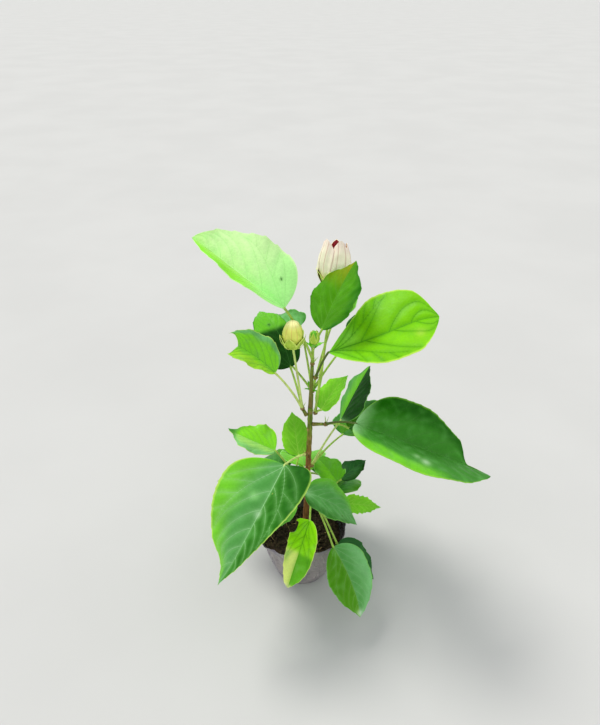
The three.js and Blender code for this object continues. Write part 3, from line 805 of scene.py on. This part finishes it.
def on_grid(table, i, j):
    """A grid's value between its points."""
    i0 = np.clip(i.astype(int), 0, table.shape[0] - 2)
    j0 = np.clip(j.astype(int), 0, table.shape[1] - 2)
    fi, fj = (i - i0)[:, None], (j - j0)[:, None]
    near = table[i0, j0] * (1 - fj) + table[i0, j0 + 1] * fj
    far = table[i0 + 1, j0] * (1 - fj) + table[i0 + 1, j0 + 1] * fj
    return near * (1 - fi) + far * fi


def stalk_path(start, base, into, bow):
    """A stalk's run: it bows up between its node and its blade, and ends sunk in the blade."""
    middle = (start + base) / 2 + UP * bow * (base - start).length
    t = shares(15)[:, None]
    a, b, c = (np.array(p) for p in (start, middle, base))
    return np.concatenate([(1 - t) ** 2 * a + 2 * t * (1 - t) * b + t**2 * c, [np.array(into)]])


def add_stalk(piece, start, base, into, tint, bow=STALK_BOW):
    path = stalk_path(start, base, into, bow)
    t = shares(len(path))
    swell = 1 + 0.4 * bell(t, 0.08) + 0.35 * bell(1 - t, 0.12)
    plain = STALK_RADIUS + (STALK_TIP_RADIUS - STALK_RADIUS) * t
    radii = plain * swell * (1 - 0.6 * smoothstep(0.93, 1, t))
    tube(piece, path, radii, STALK_SIDES, finishes["stem"], tint)


def add_knuckle(piece, root, seed):
    """The swollen node that a mass springs from, with the slender stipules that stand beside it."""
    numbers = seeded(seed)
    knob, turn, rise = ball(16, 10, 1.45)
    size = KNUCKLE_RADIUS * (1 + 0.08 * np.sin(3 * turn + 6 * next(numbers)) * np.cos(rise))
    piece.grid(np.array(root) + knob * size[..., None], finishes["stem"], tone("node"), closed=True)
    for _ in range(3):
        way = heading(360 * next(numbers), 40 + 30 * next(numbers))
        reach = 3.5 + 3 * next(numbers)
        path = [root + way * (KNUCKLE_RADIUS * 0.8 + reach * t) + UP * 1.2 * t * t for t in shares(6)]
        tube(piece, path, np.linspace(0.5, 0.1, 6), 6, finishes["stem"], "stalk")


def round_axis(base, axis, turn, out, up):
    """Points round an axis, by the angle, the way out and the height of each."""
    axis = Vector(axis).normalized()
    x = axis.cross(Vector((0.2, 1, 0.1))).normalized()
    spokes = around(np.array(x), np.array(axis.cross(x)), turn)
    return np.array(base) + spokes * out[..., None] + np.array(axis) * up[..., None]


# The forms of a bud and of the bloom, as (share of the radius, share of the height)
BUD_FORM = ((0, 0), (0.55, 0.03), (0.9, 0.22), (1, 0.45), (0.9, 0.7), (0.6, 0.9), (0.3, 0.97), (0, 1))
BLOOM_FORM = ((0.45, 0), (0.55, 0.04), (0.8, 0.2), (1.05, 0.42), (1.1, 0.58), (1.02, 0.76), (0.86, 0.92),
              (0.78, 1))


def form_radius(form, share):
    radii, heights = zip(*form)
    return np.interp(share, heights, radii)


def add_lobe(piece, base, axis, azimuth, out, up, half, thickness=0.5):
    """One pointed lobe or strap that stands round an axis: its way out, its height and its half width in
    millimetres at each step."""
    spread = np.linspace(-1, 1, 7)
    turn = azimuth + spread * (half / np.maximum(out, 1))[:, None]
    points = round_axis(base, axis, turn, out[:, None], up[:, None])
    tint = blend(tone("calyx"), tone("butter"), np.abs(spread) ** 3 * 0.7 + np.zeros((len(out), 1)))
    piece.sheet(points, thickness, [finishes["calyx"]] * 3, (tint, tint, tone("butter")))


def add_calyx(green, base, axis, radius, form, tops, seed, spread=1.2):
    """The calyx's five lobes round a bud or bloom, over a ring of slender straps. tops is how high each lobe
    stands, in millimetres, and form is the radius by height."""
    numbers = seeded(seed)
    steps = shares(14)
    for k in range(5):
        top = tops * (0.94 + 0.14 * next(numbers))
        out = form(steps * top) + 0.07 * radius + spread * (0.5 + next(numbers)) * smoothstep(0.72, 1, steps)
        half = radius * 0.7 * np.minimum(1, (1 - steps) * 1.6) ** 0.8 * np.minimum(1, 0.45 + 2 * steps) + 0.15
        add_lobe(green, base, axis, 2 * math.pi * (k + 0.2) / 5, out, steps * top - 0.2, half)
    for k in range(7):
        reach = radius * (0.5 + 0.3 * next(numbers))
        out = radius * 0.45 + reach * np.sin(steps * 1.5)
        up = radius * (0.9 + 0.3 * next(numbers)) * steps**1.6
        azimuth = 2 * math.pi * (k + 0.3 * next(numbers)) / 7
        add_lobe(green, base, axis, azimuth, out, up, 0.9 * (1 - steps**2) + 0.1, 0.4)


def add_bud(blossom, green, item, seed):
    """A closed bud: furled petals in a calyx, or a young one that its calyx still shuts in."""
    base, radius, height = Vector(item["base"]), item["radius"], item["height"]
    rows, turn = np.linspace(0.02, 0.995, 30), circle(48)
    share, angle = np.meshgrid(rows, turn, indexing="ij")
    furl = (5 * (angle / (2 * np.pi) + 0.35 * share)) % 1
    radii = radius * 0.93 * form_radius(BUD_FORM, share) * (0.94 + 0.12 * furl)
    rise = height * (0.06 + 0.94 * share)
    points = round_axis(base, UP, angle, radii, rise)
    place = np.stack(np.meshgrid(np.linspace(0, 5, 49), rows), -1)
    finish = finishes["calyx" if item.get("shut") else "bud"]
    blossom.grid(points, finish, tone("fresh"), closed=True, place=place)
    tops = height * (SHUT_CALYX if item.get("shut") else BUD_CALYX)
    add_calyx(green, base, UP, radius, lambda z: radius * form_radius(BUD_FORM, z / height), tops, seed)


# Where the first petal of the bloom stands round its axis, how far the petals twist towards the top, and
# how far each stops short of it
PETAL_TURN = 34
PETAL_TWIST = 20
PETAL_SHORT = (0, 0.02, 0.12, 0.1, 0.12)
PETAL_THICKNESS = 0.5
# How high the calyx stands, as a share of the height of the bloom, of a bud and of a young shut bud
BLOOM_CALYX, BUD_CALYX, SHUT_CALYX = 0.4, 0.5, 1.02


def add_bloom(blossom, green, item, seed):
    """A half-open bloom: five wrapped petals in a long toothed calyx."""
    base, axis = Vector(item["base"]), Vector(item["tip"]) - Vector(item["base"])
    length, radius = axis.length, item["radius"]
    share, side = np.meshgrid(shares(34), np.linspace(-1, 1, 27), indexing="ij")
    for k in range(5):
        top = 1 - PETAL_SHORT[k] - 0.26 * np.abs(side) ** 1.5
        turn = math.radians(PETAL_TURN + 72 * k) + side * math.radians(50) + math.radians(PETAL_TWIST) * share
        ruffle = 0.02 * np.sin(9 * side + 2 * k) * smoothstep(0.5, 1, share)
        lap = 0.05 * side + ruffle - 0.05 * np.abs(side) ** 3 * smoothstep(0.75, 1, share)
        pleat = 0.022 * np.cos(5 * side * math.pi) * smoothstep(0.1, 0.5, share)
        radii = radius * (form_radius(BLOOM_FORM, share) + lap + pleat)
        rise = length * share * top
        points = round_axis(base, axis, turn, radii, rise)
        trio = (finishes["petal"], finishes["throat"], finishes["petal"])
        blossom.sheet(points, PETAL_THICKNESS, trio, place=np.stack([side + 2 * k, share], -1))
    add_calyx(green, base, axis, radius, lambda z: radius * form_radius(BLOOM_FORM, z / length),
              length * BLOOM_CALYX, seed)


# Materials

def linear(*colour):
    """A colour out of 255 as the shader's own red, green, blue and alpha."""
    return (*to_linear(colour).tolist(), 1)


class Finish:
    """A material in the making, on one Principled shader."""

    def __init__(self, name, roughness, **sockets):
        self.material = bpy.data.materials.new(name)
        self.material.use_nodes = True
        self.tree = self.material.node_tree
        self.surface = self.tree.nodes["Principled BSDF"]
        self.surface.inputs["Roughness"].default_value = roughness
        for socket, value in sockets.items():
            self.surface.inputs[socket.replace("_", " ")].default_value = value

    def node(self, kind, **settings):
        made = self.tree.nodes.new("ShaderNode" + kind)
        for name, value in settings.items():
            setattr(made, name, value)
        return made

    def link(self, source, target):
        if hasattr(source, "is_output"):
            self.tree.links.new(source, target)
        elif target.type == "VECTOR":
            target.default_value = source[:3]
        else:
            target.default_value = source

    def tint(self):
        """The mesh's own tint."""
        return self.node("Attribute", attribute_name="tint").outputs["Color"]

    def position(self, stretch=(1, 1, 1)):
        """Where a point is on the object, in metres, stretched along each axis."""
        scaled = self.node("VectorMath", operation="MULTIPLY")
        self.link(self.node("TexCoord").outputs["Object"], scaled.inputs[0])
        scaled.inputs[1].default_value = stretch
        return scaled.outputs[0]

    def place(self):
        """A point's across and along on its own sheet."""
        split = self.node("SeparateXYZ")
        self.link(self.node("UVMap", uv_map="place").outputs["UV"], split.inputs[0])
        return split.outputs["X"], split.outputs["Y"]

    def noise(self, scale, detail=3, stretch=(1, 1, 1), roughness=0.55):
        made = self.node("TexNoise")
        self.link(self.position(stretch), made.inputs["Vector"])
        for name, value in (("Scale", scale), ("Detail", detail), ("Roughness", roughness)):
            made.inputs[name].default_value = value
        return made.outputs["Fac"]

    def cells(self, scale, feature="DISTANCE_TO_EDGE", stretch=(1, 1, 1)):
        made = self.node("TexVoronoi", feature=feature)
        self.link(self.position(stretch), made.inputs["Vector"])
        made.inputs["Scale"].default_value = scale
        return made.outputs["Distance"]

    def math(self, operation, a, b=0.5):
        made = self.node("Math", operation=operation)
        self.link(a, made.inputs[0])
        self.link(b, made.inputs[1])
        return made.outputs[0]

    def fade(self, value, low, high, first=0, last=1):
        made = self.node("MapRange", interpolation_type="SMOOTHSTEP")
        self.link(value, made.inputs["Value"])
        for name, number in (("From Min", low), ("From Max", high), ("To Min", first), ("To Max", last)):
            made.inputs[name].default_value = number
        return made.outputs["Result"]

    def mix(self, share, first, last):
        made = self.node("MixRGB")
        for socket, value in zip(("Fac", "Color1", "Color2"), (share, first, last)):
            self.link(value, made.inputs[socket])
        return made.outputs["Color"]

    def shade(self, colour, value, low, high, first, last):
        """The colour times a number that goes from first to last as the value goes from low to high."""
        made = self.node("VectorMath", operation="SCALE")
        self.link(colour, made.inputs[0])
        self.link(self.fade(value, low, high, first, last), made.inputs["Scale"])
        return made.outputs[0]

    def mottle(self, colour, low, high, *noise):
        """The colour times a number that goes from low to high in patches."""
        return self.shade(colour, self.noise(*noise), 0.3, 0.7, low, high)

    def bump(self, height, strength, distance, under=None):
        made = self.node("Bump")
        made.inputs["Strength"].default_value = strength
        made.inputs["Distance"].default_value = distance
        self.link(height, made.inputs["Height"])
        if under is not None:
            self.link(under, made.inputs["Normal"])
        return made.outputs["Normal"]

    def wear(self, colour, normal, roughness=None):
        """Gives the shader its colour, relief and gloss, and returns the material."""
        self.link(colour, self.surface.inputs["Base Color"])
        self.link(normal, self.surface.inputs["Normal"])
        if roughness is not None:
            self.link(roughness, self.surface.inputs["Roughness"])
        return self.material


def blade_finish(name):
    """The glossy upper face of a blade: its tint, mottled, with a fine net between the veins."""
    f = Finish(name, 0.4, Specular_IOR_Level=0.09)
    colour = f.mottle(f.tint(), 0.93, 1.06, 40, 3)
    net = f.cells(300)
    colour = f.shade(colour, net, 0, 0.14, 1.06, 1)
    colour = f.mottle(colour, 0.98, 1.02, 500, 2)
    relief = f.bump(f.fade(net, 0, 0.3), 0.2, 0.0003)
    relief = f.bump(f.noise(120, 2), 0.2, 0.0005, relief)
    return f.wear(colour, relief, f.fade(f.noise(120, 3), 0.3, 0.7, 0.3, 0.44))


def underside_finish(name):
    """The duller underside of a blade, with its vein net raised."""
    f = Finish(name, 0.6, Specular_IOR_Level=0.3)
    colour = f.mottle(f.tint(), 0.86, 1.08, 50, 3)
    net = f.cells(300)
    colour = f.mix(f.fade(net, 0, 0.12, 0.35, 0), colour, linear(*PALETTE["white_vein"]))
    return f.wear(colour, f.bump(f.fade(net, 0, 0.2, 1, 0), 0.35, 0.0005))


def vein_finish(name):
    """Veins and margins."""
    f = Finish(name, 0.5, Specular_IOR_Level=0.15)
    colour = f.mottle(f.tint(), 0.9, 1.08, 110, 3)
    return f.wear(colour, f.bump(f.noise(700, 2), 0.15, 0.0003))


def stem_finish(name, contrast, depth, roughness):
    """Stems and stalks: a tint with darker and lighter streaks along them, and small raised pores."""
    f = Finish(name, roughness, Specular_IOR_Level=0.35)
    streaks = f.noise(420, 4, (1, 1, 0.16))
    colour = f.shade(f.tint(), streaks, 0.36, 0.64, 1 - contrast, 1 + contrast)
    pores = f.cells(300, "F1", (1, 1, 0.55))
    colour = f.mix(f.fade(pores, 0.14, 0.28, 0.55, 0), colour, linear(*PALETTE["scar"]))
    colour = f.mottle(colour, 0.84, 1.12, 60, 3)
    relief = f.bump(streaks, 0.6, depth)
    return f.wear(colour, f.bump(f.fade(pores, 0.1, 0.35, 1, 0), 0.5, depth * 0.7, relief))


def petal_finish(name, foot, middle, top, streak):
    """A petal: one colour at its foot, others above, with fine lengthwise pleats and flushed streaks."""
    f = Finish(name, 0.5, Specular_IOR_Level=0.3)
    across, along = f.place()
    colour = f.mix(f.fade(along, 0.12, 0.5), linear(*foot), linear(*middle))
    colour = f.mix(f.fade(along, 0.7, 1), colour, linear(*top))
    waves = f.node("TexWave", wave_type="BANDS", bands_direction="X")
    stretched = f.node("CombineXYZ")
    f.link(across, stretched.inputs[0])
    f.link(f.math("MULTIPLY", along, 0.4), stretched.inputs[1])
    f.link(stretched.outputs[0], waves.inputs["Vector"])
    for socket, value in (("Scale", 0.6), ("Distortion", 3), ("Detail", 3), ("Detail Scale", 1.5)):
        waves.inputs[socket].default_value = value
    streaks = f.fade(waves.outputs["Fac"], 0.88, 1, 0, 0.42)
    streaks = f.math("MULTIPLY", streaks, f.fade(along, 0.2, 0.5))
    colour = f.mix(streaks, colour, linear(*streak))
    colour = f.mottle(colour, 0.96, 1.04, 160, 3)
    relief = f.bump(waves.outputs["Fac"], 0.4, 0.0009)
    return f.wear(colour, f.bump(f.noise(900, 2), 0.15, 0.0004, relief))


def calyx_finish(name):
    f = Finish(name, 0.55, Specular_IOR_Level=0.35)
    colour = f.mottle(f.tint(), 0.82, 1.12, 260, 3, (1, 1, 0.3))
    return f.wear(colour, f.bump(f.noise(600, 3), 0.25, 0.0004))


def film_finish(name, film, dust, stain, dusting):
    """Dusty polyethylene film: scuffed, stretched in fine lines, with soil and dust caught in its creases."""
    f = Finish(name, 0.4, Specular_IOR_Level=0.6)
    cloudy = f.noise(30, 4, (1, 1, 0.6), 0.6)
    colour = f.mix(f.fade(cloudy, 0.38, 0.6, 0, dusting), linear(*film), linear(*dust))
    colour = f.mix(f.fade(f.noise(420, 4, roughness=0.7), 0.5, 0.72, 0, 0.3), colour, linear(*dust))
    colour = f.mix(f.fade(f.noise(70, 4, (1, 1, 0.5)), 0.56, 0.74, 0, 0.5), colour, linear(*stain))
    crease = f.math("ABSOLUTE", f.math("SUBTRACT", f.noise(55, 4, (1, 1, 0.5)), 0.5))
    colour = f.shade(colour, crease, 0, 0.03, 1.35, 1)
    relief = f.bump(f.fade(crease, 0, 0.06, 1, 0), 0.7, 0.0014)
    relief = f.bump(f.noise(160, 4, (1, 1, 0.3), 0.6), 0.5, 0.0012, relief)
    return f.wear(colour, relief, f.fade(cloudy, 0.35, 0.65, 0.26, 0.5))


def soil_finish(name, dark, light):
    f = Finish(name, 0.92, Specular_IOR_Level=0.2)
    colour = f.mix(f.fade(f.noise(220, 5, roughness=0.7), 0.38, 0.66), linear(*dark), linear(*light))
    colour = f.shade(colour, f.cells(500, "F1"), 0, 0.6, 0.7, 1.15)
    return f.wear(colour, f.bump(f.noise(800, 5, roughness=0.75), 0.8, 0.0015))


def straw_finish(name):
    f = Finish(name, 0.8, Specular_IOR_Level=0.2)
    colour = f.mix(f.fade(f.noise(300, 3), 0.35, 0.65), linear(120, 92, 56), linear(176, 150, 104))
    return f.wear(colour, f.bump(f.noise(900, 3), 0.4, 0.0005))


finishes = {
    "blade": blade_finish("blade"),
    "underside": underside_finish("underside"),
    "vein": vein_finish("vein"),
    "stem": stem_finish("stem", 0.14, 0.0005, 0.5),
    "bark": stem_finish("bark", 0.3, 0.0009, 0.8),
    "calyx": calyx_finish("calyx"),
    "petal": petal_finish("petal", (255, 240, 128), (255, 247, 216), (255, 236, 218), (176, 100, 88)),
    "bud": petal_finish("bud", (200, 222, 70), (236, 240, 112), (248, 244, 168), (220, 160, 90)),
    "throat": petal_finish("throat", (140, 20, 34), (196, 40, 60), (220, 84, 96), (160, 24, 40)),
    "bag": film_finish("bag", (118, 110, 124), (178, 170, 162), (84, 76, 88), 0.6),
    # The inside is the same film in darker colours, dust too: painted shade inside the bag
    "bag_inside": film_finish("bag_inside", (56, 54, 58), (110, 104, 100), (38, 36, 40), 0.5),
    "soil": soil_finish("soil", (34, 26, 20), (78, 62, 46)),
    "crumb": soil_finish("crumb", (44, 34, 26), (98, 80, 60)),
    "straw": straw_finish("straw"),
}


# Pieces

def dress(piece, slot, *nodes):
    """Builds a piece, lets it stand for its nodes and take its place on the plant."""
    made = piece.build()
    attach(made, "root")
    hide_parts(*nodes)


def young_leaves(tip, count, length, seed):
    """Tiny leaves that unfold round a growing tip, dealt out by the seeded rule."""
    numbers = seeded(seed)
    for i in range(count):
        azimuth = 360 / count * i + 40 * next(numbers)
        rise = 35 + 35 * next(numbers)
        reach = length * (0.75 + 0.5 * next(numbers))
        base = tip + heading(azimuth, rise) * STALK_RADIUS
        yield leaf(tuple(base), (azimuth, rise, 0), (reach, reach / 2), "young", fold=(20, 20), droop=30,
                   teeth=0.4, pitch=3, wave=0.3, puff=0.15)


def add_mass(leaves, stalks, blossom, green, entry, seed):
    """One mass of foliage: its node, twig, stalks, blades, buds, bloom and unfolding leaves."""
    root = root_of(entry["root"])
    twig = entry.get("twig")
    tip = root + Vector(twig) if twig else root
    add_knuckle(stalks, root, seed)
    if twig:
        path = [root.lerp(tip, t) for t in shares(8)]
        radii = np.linspace(STALK_RADIUS * 1.4, STALK_RADIUS * 1.2, 8)
        tube(stalks, path, radii, 12, finishes["stem"], "shoot", "stalk")
    for n, item in enumerate(entry["leaves"]):
        blade = Blade(item, seed + n)
        add_blade(leaves, blade)
        tables = (blade.middles, blade.normals)
        middle, normal = (blade.on_rib(table, np.array([SUNK]))[0] for table in tables)
        into = middle - normal * STALK_RADIUS
        add_stalk(stalks, root.lerp(tip, item.get("along", 0)), Vector(item["base"]), into, item["stalk"])
    for item in entry.get("buds", ()):
        base = Vector(item["base"])
        add_bud(blossom, green, item, seed + 40)
        start = root.lerp(tip, item.get("along", 0))
        add_stalk(stalks, start, base, base + UP * item["height"] * 0.12, "pale_stalk", STALK_BOW / 3)
    for item in entry.get("blooms", ()):
        add_bloom(blossom, green, item, seed + 50)
        into = Vector(item["base"]).lerp(Vector(item["tip"]), 0.06)
        path = smooth_path([root, item["knee"], item["base"], into], 12)
        t = shares(len(path))
        joint = 0.45 * bell(t - 0.36, 0.03)
        radii = STALK_RADIUS * (1.2 - 0.2 * t) * (1 + joint + 0.6 * smoothstep(0.9, 1, t))
        tube(stalks, path, radii, STALK_SIDES, finishes["stem"], "stalk")
    if "young" in entry:
        for n, item in enumerate(young_leaves(tip, **entry["young"])):
            add_blade(leaves, Blade(item, seed + 60 + n))


def make_foliage():
    """Each mass has a piece of leaves and a piece of stalks; blossom and calyx are joined over the plant."""
    blossom, green = Piece("petals"), Piece("calyxes")
    for n, (name, entry) in enumerate(MASSES.items()):
        leaves, stalks = Piece(f"{name}_leaves"), Piece(f"{name}_stalks")
        add_mass(leaves, stalks, blossom, green, entry, 100 * n + 7)
        dress(leaves, "foliage", name)
        dress(stalks, "green_shoot", name)
    dress(blossom, "foliage", "flower_shoot", "crown_left", "crown_tip")
    dress(green, "foliage", "flower_shoot", "crown_left", "crown_tip")


def ripple(points, scale, stretch=1, seed=0.0):
    """Soft noise from -1 to 1 at each point, longer along Z by the stretch."""
    flat = points.reshape(-1, 3)
    values = [noise.noise(Vector((x / scale + seed, y / scale, z / scale / stretch))) for x, y, z in flat]
    return np.array(values).reshape(points.shape[:-1])


def make_stem():
    """The woody stem: furrowed bark, a flared foot, and the scars of old leaves."""
    piece = Piece("stem_bark")
    heights = STEM_PATH[:, 2]
    turn = circle(STEM_SIDES)
    ring = np.stack([np.cos(turn), np.sin(turn)], -1)
    tall = np.broadcast_to(heights[:, None, None], (len(heights), STEM_SIDES, 1))
    round_points = np.concatenate([np.tile(ring * STEM_RADIUS, (len(heights), 1, 1)), tall], -1)
    furrows = FINE_FURROWS * ripple(round_points, 1.1, 7) + FURROWS * ripple(round_points, 3.5, 3, 9.0)
    foot = smoothstep(FLARE_HEIGHT + STEM_POINTS[0][2], STEM_POINTS[0][2], heights)[:, None]
    furrows = furrows + FLUTE_DEPTH * foot * np.sin(5 * turn + 0.8)
    green = smoothstep(*STEM_TURNS_GREEN, heights)
    tint = blend(tone("brown"), tone("shoot"), green)[:, None] + np.zeros((1, STEM_SIDES, 1))
    for height, azimuth in SCARS:
        near = bell(heights - height, SCAR_REACH)[:, None]
        furrows = furrows + SCAR_SWELL * near * lobes(turn, azimuth, 42) + SCAR_RING * near
        tint = blend(tint, tone("scar"), 0.8 * near * lobes(turn, azimuth, 34))
    spokes = np.concatenate([ring, np.zeros((STEM_SIDES, 1))], 1)
    rings = STEM_PATH[:, None] + spokes * (stem_radius(heights)[:, None] + furrows)[..., None]
    hub = STEM_PATH[[0, -1], None] + (rings[[0, -1]] - STEM_PATH[[0, -1], None]) * 0.02
    points = np.concatenate([hub[:1], rings, hub[1:]])
    piece.grid(points, finishes["bark"], np.concatenate([tint[:1], tint, tint[-1:]]), closed=True)
    dress(piece, "stem_bark", "main_stem")


def make_shoots():
    """The green shoots, each with fine ridges and a collar where it leaves the stem."""
    for n, (name, shoot) in enumerate(SHOOTS.items()):
        piece = Piece(f"{name}_bark")
        start, end = shoot_line(name)
        steps = max(10, round(shoot["length"] * 1.2))
        t = shares(steps)
        path = np.array([start.lerp(end, share) for share in t])
        first, last = shoot["radii"]
        radii = first + (last - first) * t + 0.25 * bell(t * shoot["length"], 2.5)
        turn = circle(24)
        wobble = 0.07 * np.sin(5 * turn + 3 * t[:, None] + n) + 0.05 * np.sin(2 * turn + 9 * t[:, None])
        tube(piece, path, radii, 24, finishes["stem"], "node", "shoot", wobble)
        dress(piece, "green_shoot", name)


def bag_point(turn, height):
    """A place on the bag's outside: the source's form, with the film's folds and wrinkles."""
    high = np.clip(height / BAG_HEIGHT, 0, 1)
    radius = BAG_FOOT_RADIUS + (BAG_MOUTH_RADIUS - BAG_FOOT_RADIUS) * high**BAG_BELLY
    radius = radius + CRUMPLE * high**2 * np.sin(CRUMPLE_COUNT * turn) + 0.9 * smoothstep(0.93, 1, high)
    for azimuth, depth, width in BAG_FOLDS:
        lean = (height - BAG_HEIGHT / 2) * 0.12 * (1 if azimuth % 2 else -1)
        radius = radius + depth * high**1.7 * lobes(turn, azimuth + lean, width)
    for azimuth, width, level, spread, depth in BAG_DENTS:
        radius = radius + depth * lobes(turn, azimuth, width) * bell(height - level, spread)
    base = np.stack([radius * np.cos(turn), radius * np.sin(turn), height], -1)
    pleats = 1 - 2 * np.abs(ripple(base, 10, 3.5, 3.0))
    creases = 1 - 2 * np.abs(ripple(base + base[..., 2:3] * 0.6, 8, 1.3, 21.0))
    firm = np.clip(height / 6, 0, 1)
    slack = PLEAT_DEPTH * (pleats - 0.5) * (0.35 + high) + CREASE_DEPTH * (creases - 0.5)
    slack = slack + GRAIN_DEPTH * ripple(base, 3.2, 1, 5.0)
    radius = radius + firm * slack
    rise = RIM_TILT * high**5 * np.cos(turn - math.radians(RIM_HIGH_SIDE))
    rise = rise + 1.2 * high**6 * ripple(base, 14, 1, 40.0)
    return np.stack([radius * np.cos(turn), radius * np.sin(turn), height + rise], -1)


def make_bag():
    """The grow bag: one wrinkled film from the middle of its flat sole to its rim."""
    piece = Piece("bag_film")
    turn = circle(FILM_STEPS)
    heights = np.concatenate([[0.5, 1, 1.6], np.linspace(3, BAG_HEIGHT, WALL_ROWS)])
    wall = bag_point(*np.meshgrid(turn, heights))
    sole_radius = np.linspace(0.3, BAG_FOOT_RADIUS - 1.2, SOLE_ROWS)[:, None]
    ring = (sole_radius * np.cos(turn), sole_radius * np.sin(turn), np.zeros((SOLE_ROWS, 1)))
    sole = np.stack(np.broadcast_arrays(*ring), -1)
    sole[..., 2] = 0.25 + 0.5 * np.abs(ripple(sole, 8, 1, 60.0))
    sole[-1, :, 2] = BAG_FILM / 2
    points = np.concatenate([sole, wall])
    trio = (finishes["bag"], finishes["bag_inside"], finishes["bag"])
    piece.sheet(points, BAG_FILM, trio, closed=True)
    dress(piece, "bag_plastic", "grow_bag")


def inside_film(turn, height, inset):
    """A level ring inside the film, so far in from its outside."""
    ring = bag_point(turn, np.full(len(turn), float(height)))
    flat = ring[:, :2] * (1 - inset / np.hypot(ring[:, 0], ring[:, 1]))[:, None]
    return np.concatenate([flat, np.full((len(turn), 1), float(height))], 1)


def make_soil():
    """The potting soil: a crumbly surface that meets the film all round, with clods and straw on it."""
    piece = Piece("soil_surface")
    turn = circle(SOIL_STEPS)
    edge = inside_film(turn, SOIL_LEVEL - 1, 0.8)
    share = np.linspace(0.004, 1, 48)[:, None, None]
    top = edge[None] * share
    heap = SOIL_HEAP * (1 - share[..., 0] ** 3)
    level = SOIL_LEVEL - SOIL_DROP + heap + 0.9 * ripple(top, 9, 1, 2.0)
    top[..., 2] = level + 0.5 * ripple(top, 2.6, 1, 8.0)
    sides = [inside_film(turn, height, 2.4)[None] for height in SOIL_RINGS]
    middle = sides[1] * (0.01, 0.01, 1)
    piece.grid(np.concatenate([top, *sides, middle]), finishes["soil"], closed=True)
    numbers = seeded(77)
    for n in range(SOIL_CRUMBS):
        away = math.sqrt(next(numbers)) * 0.97
        at = turn[int(next(numbers) * SOIL_STEPS) % SOIL_STEPS]
        reach = (np.interp(at, turn, np.hypot(edge[:, 0], edge[:, 1])) - 1.5) * away
        size = 0.5 + 1.9 * next(numbers) ** 3
        z = SOIL_LEVEL - SOIL_DROP + SOIL_HEAP * (1 - away**3) + size * 0.25
        add_clod(piece, np.array([reach * math.cos(at), reach * math.sin(at), z]), size, n)
    for _ in range(SOIL_STRAWS):
        at, away = 2 * math.pi * next(numbers), 6 + 34 * next(numbers)
        centre = Vector((away * math.cos(at), away * math.sin(at), SOIL_LEVEL + 0.2))
        way = heading(360 * next(numbers), 8 * next(numbers) - 4)
        reach = 2 + 5 * next(numbers)
        path = [centre + way * reach * t + UP * 0.6 * math.sin(2 * t) for t in np.linspace(-1, 1, 6)]
        tube(piece, path, np.full(6, 0.25 + 0.3 * next(numbers)), 6, finishes["straw"], "scar")
    dress(piece, "soil", "potting_soil")


def add_clod(piece, centre, size, seed):
    """A small lump of soil."""
    clod = ball(9, 6, 1.4)[0]
    lump = 1 + 0.55 * ripple(clod, 0.9, 1, seed * 1.7)
    piece.grid(centre + clod * (size * lump)[..., None] * (1, 1, 0.75), finishes["crumb"], closed=True)


# The floor reaches this far each way, in metres
FLOOR_REACH = 60


def make_floor():
    floor = bpy.data.meshes.new("floor")
    corners = [(-1, -1), (1, -1), (1, 1), (-1, 1)]
    floor.from_pydata([(x * FLOOR_REACH, y * FLOOR_REACH, 0) for x, y in corners], [], [(0, 1, 2, 3)])
    f = Finish("floor", 0.9, Specular_IOR_Level=0.1)
    colour = f.mottle(linear(200, 199, 196), 0.98, 1.02, 3, 3)
    floor.materials.append(f.wear(colour, f.bump(f.noise(40, 3), 0.05, 0.001)))
    placed("floor", floor)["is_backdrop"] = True


SKY_STRENGTH = 0.86
KEY_STRENGTH = 1.8
# How broad the key light looks, in radians, and the way towards it
KEY_ANGLE = 0.4
KEY_LIGHT_FROM = (-0.42, 0.3, 1)


def make_studio():
    """A soft even sky, and a broad soft key light from high up behind on the left."""
    world = bpy.data.worlds.new("studio")
    world.use_nodes = True
    sky = world.node_tree.nodes["Background"]
    sky.inputs["Color"].default_value = (0.94, 0.97, 1, 1)
    sky.inputs["Strength"].default_value = SKY_STRENGTH
    bpy.context.scene.world = world
    lamp = bpy.data.lights.new("key", "SUN")
    lamp.energy = KEY_STRENGTH
    lamp.angle = KEY_ANGLE
    lamp.color = (1, 0.985, 0.95)
    placed("key", lamp).rotation_euler = Vector(KEY_LIGHT_FROM).to_track_quat("Z", "Y").to_euler()
    bpy.context.scene.view_settings.view_transform = "Standard"


# The camera stands where the photograph's did. Its focal length is given in pixels of a frame so high.
CAMERA_PLACE = (-0.0025, -0.5, 0.6)
CAMERA_PITCH = 32
FOCAL_PIXELS = 610
FRAME_HEIGHT = 725
SENSOR_WIDTH = 36


def make_camera():
    lens = bpy.data.cameras.new("camera")
    lens.sensor_width = SENSOR_WIDTH
    lens.lens = SENSOR_WIDTH * FOCAL_PIXELS / FRAME_HEIGHT
    lens.clip_start = 0.01
    camera = placed("camera", lens)
    camera.location = CAMERA_PLACE
    camera.rotation_euler = (math.radians(90 - CAMERA_PITCH), 0, 0)
    bpy.context.scene.camera = camera


make_camera()
make_studio()
make_floor()
make_bag()
make_soil()
make_stem()
make_shoots()
make_foliage()

sizes = {"cad": cad_box, "visual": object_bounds()}
{key: [list(corner) for corner in box] for key, box in sizes.items()}
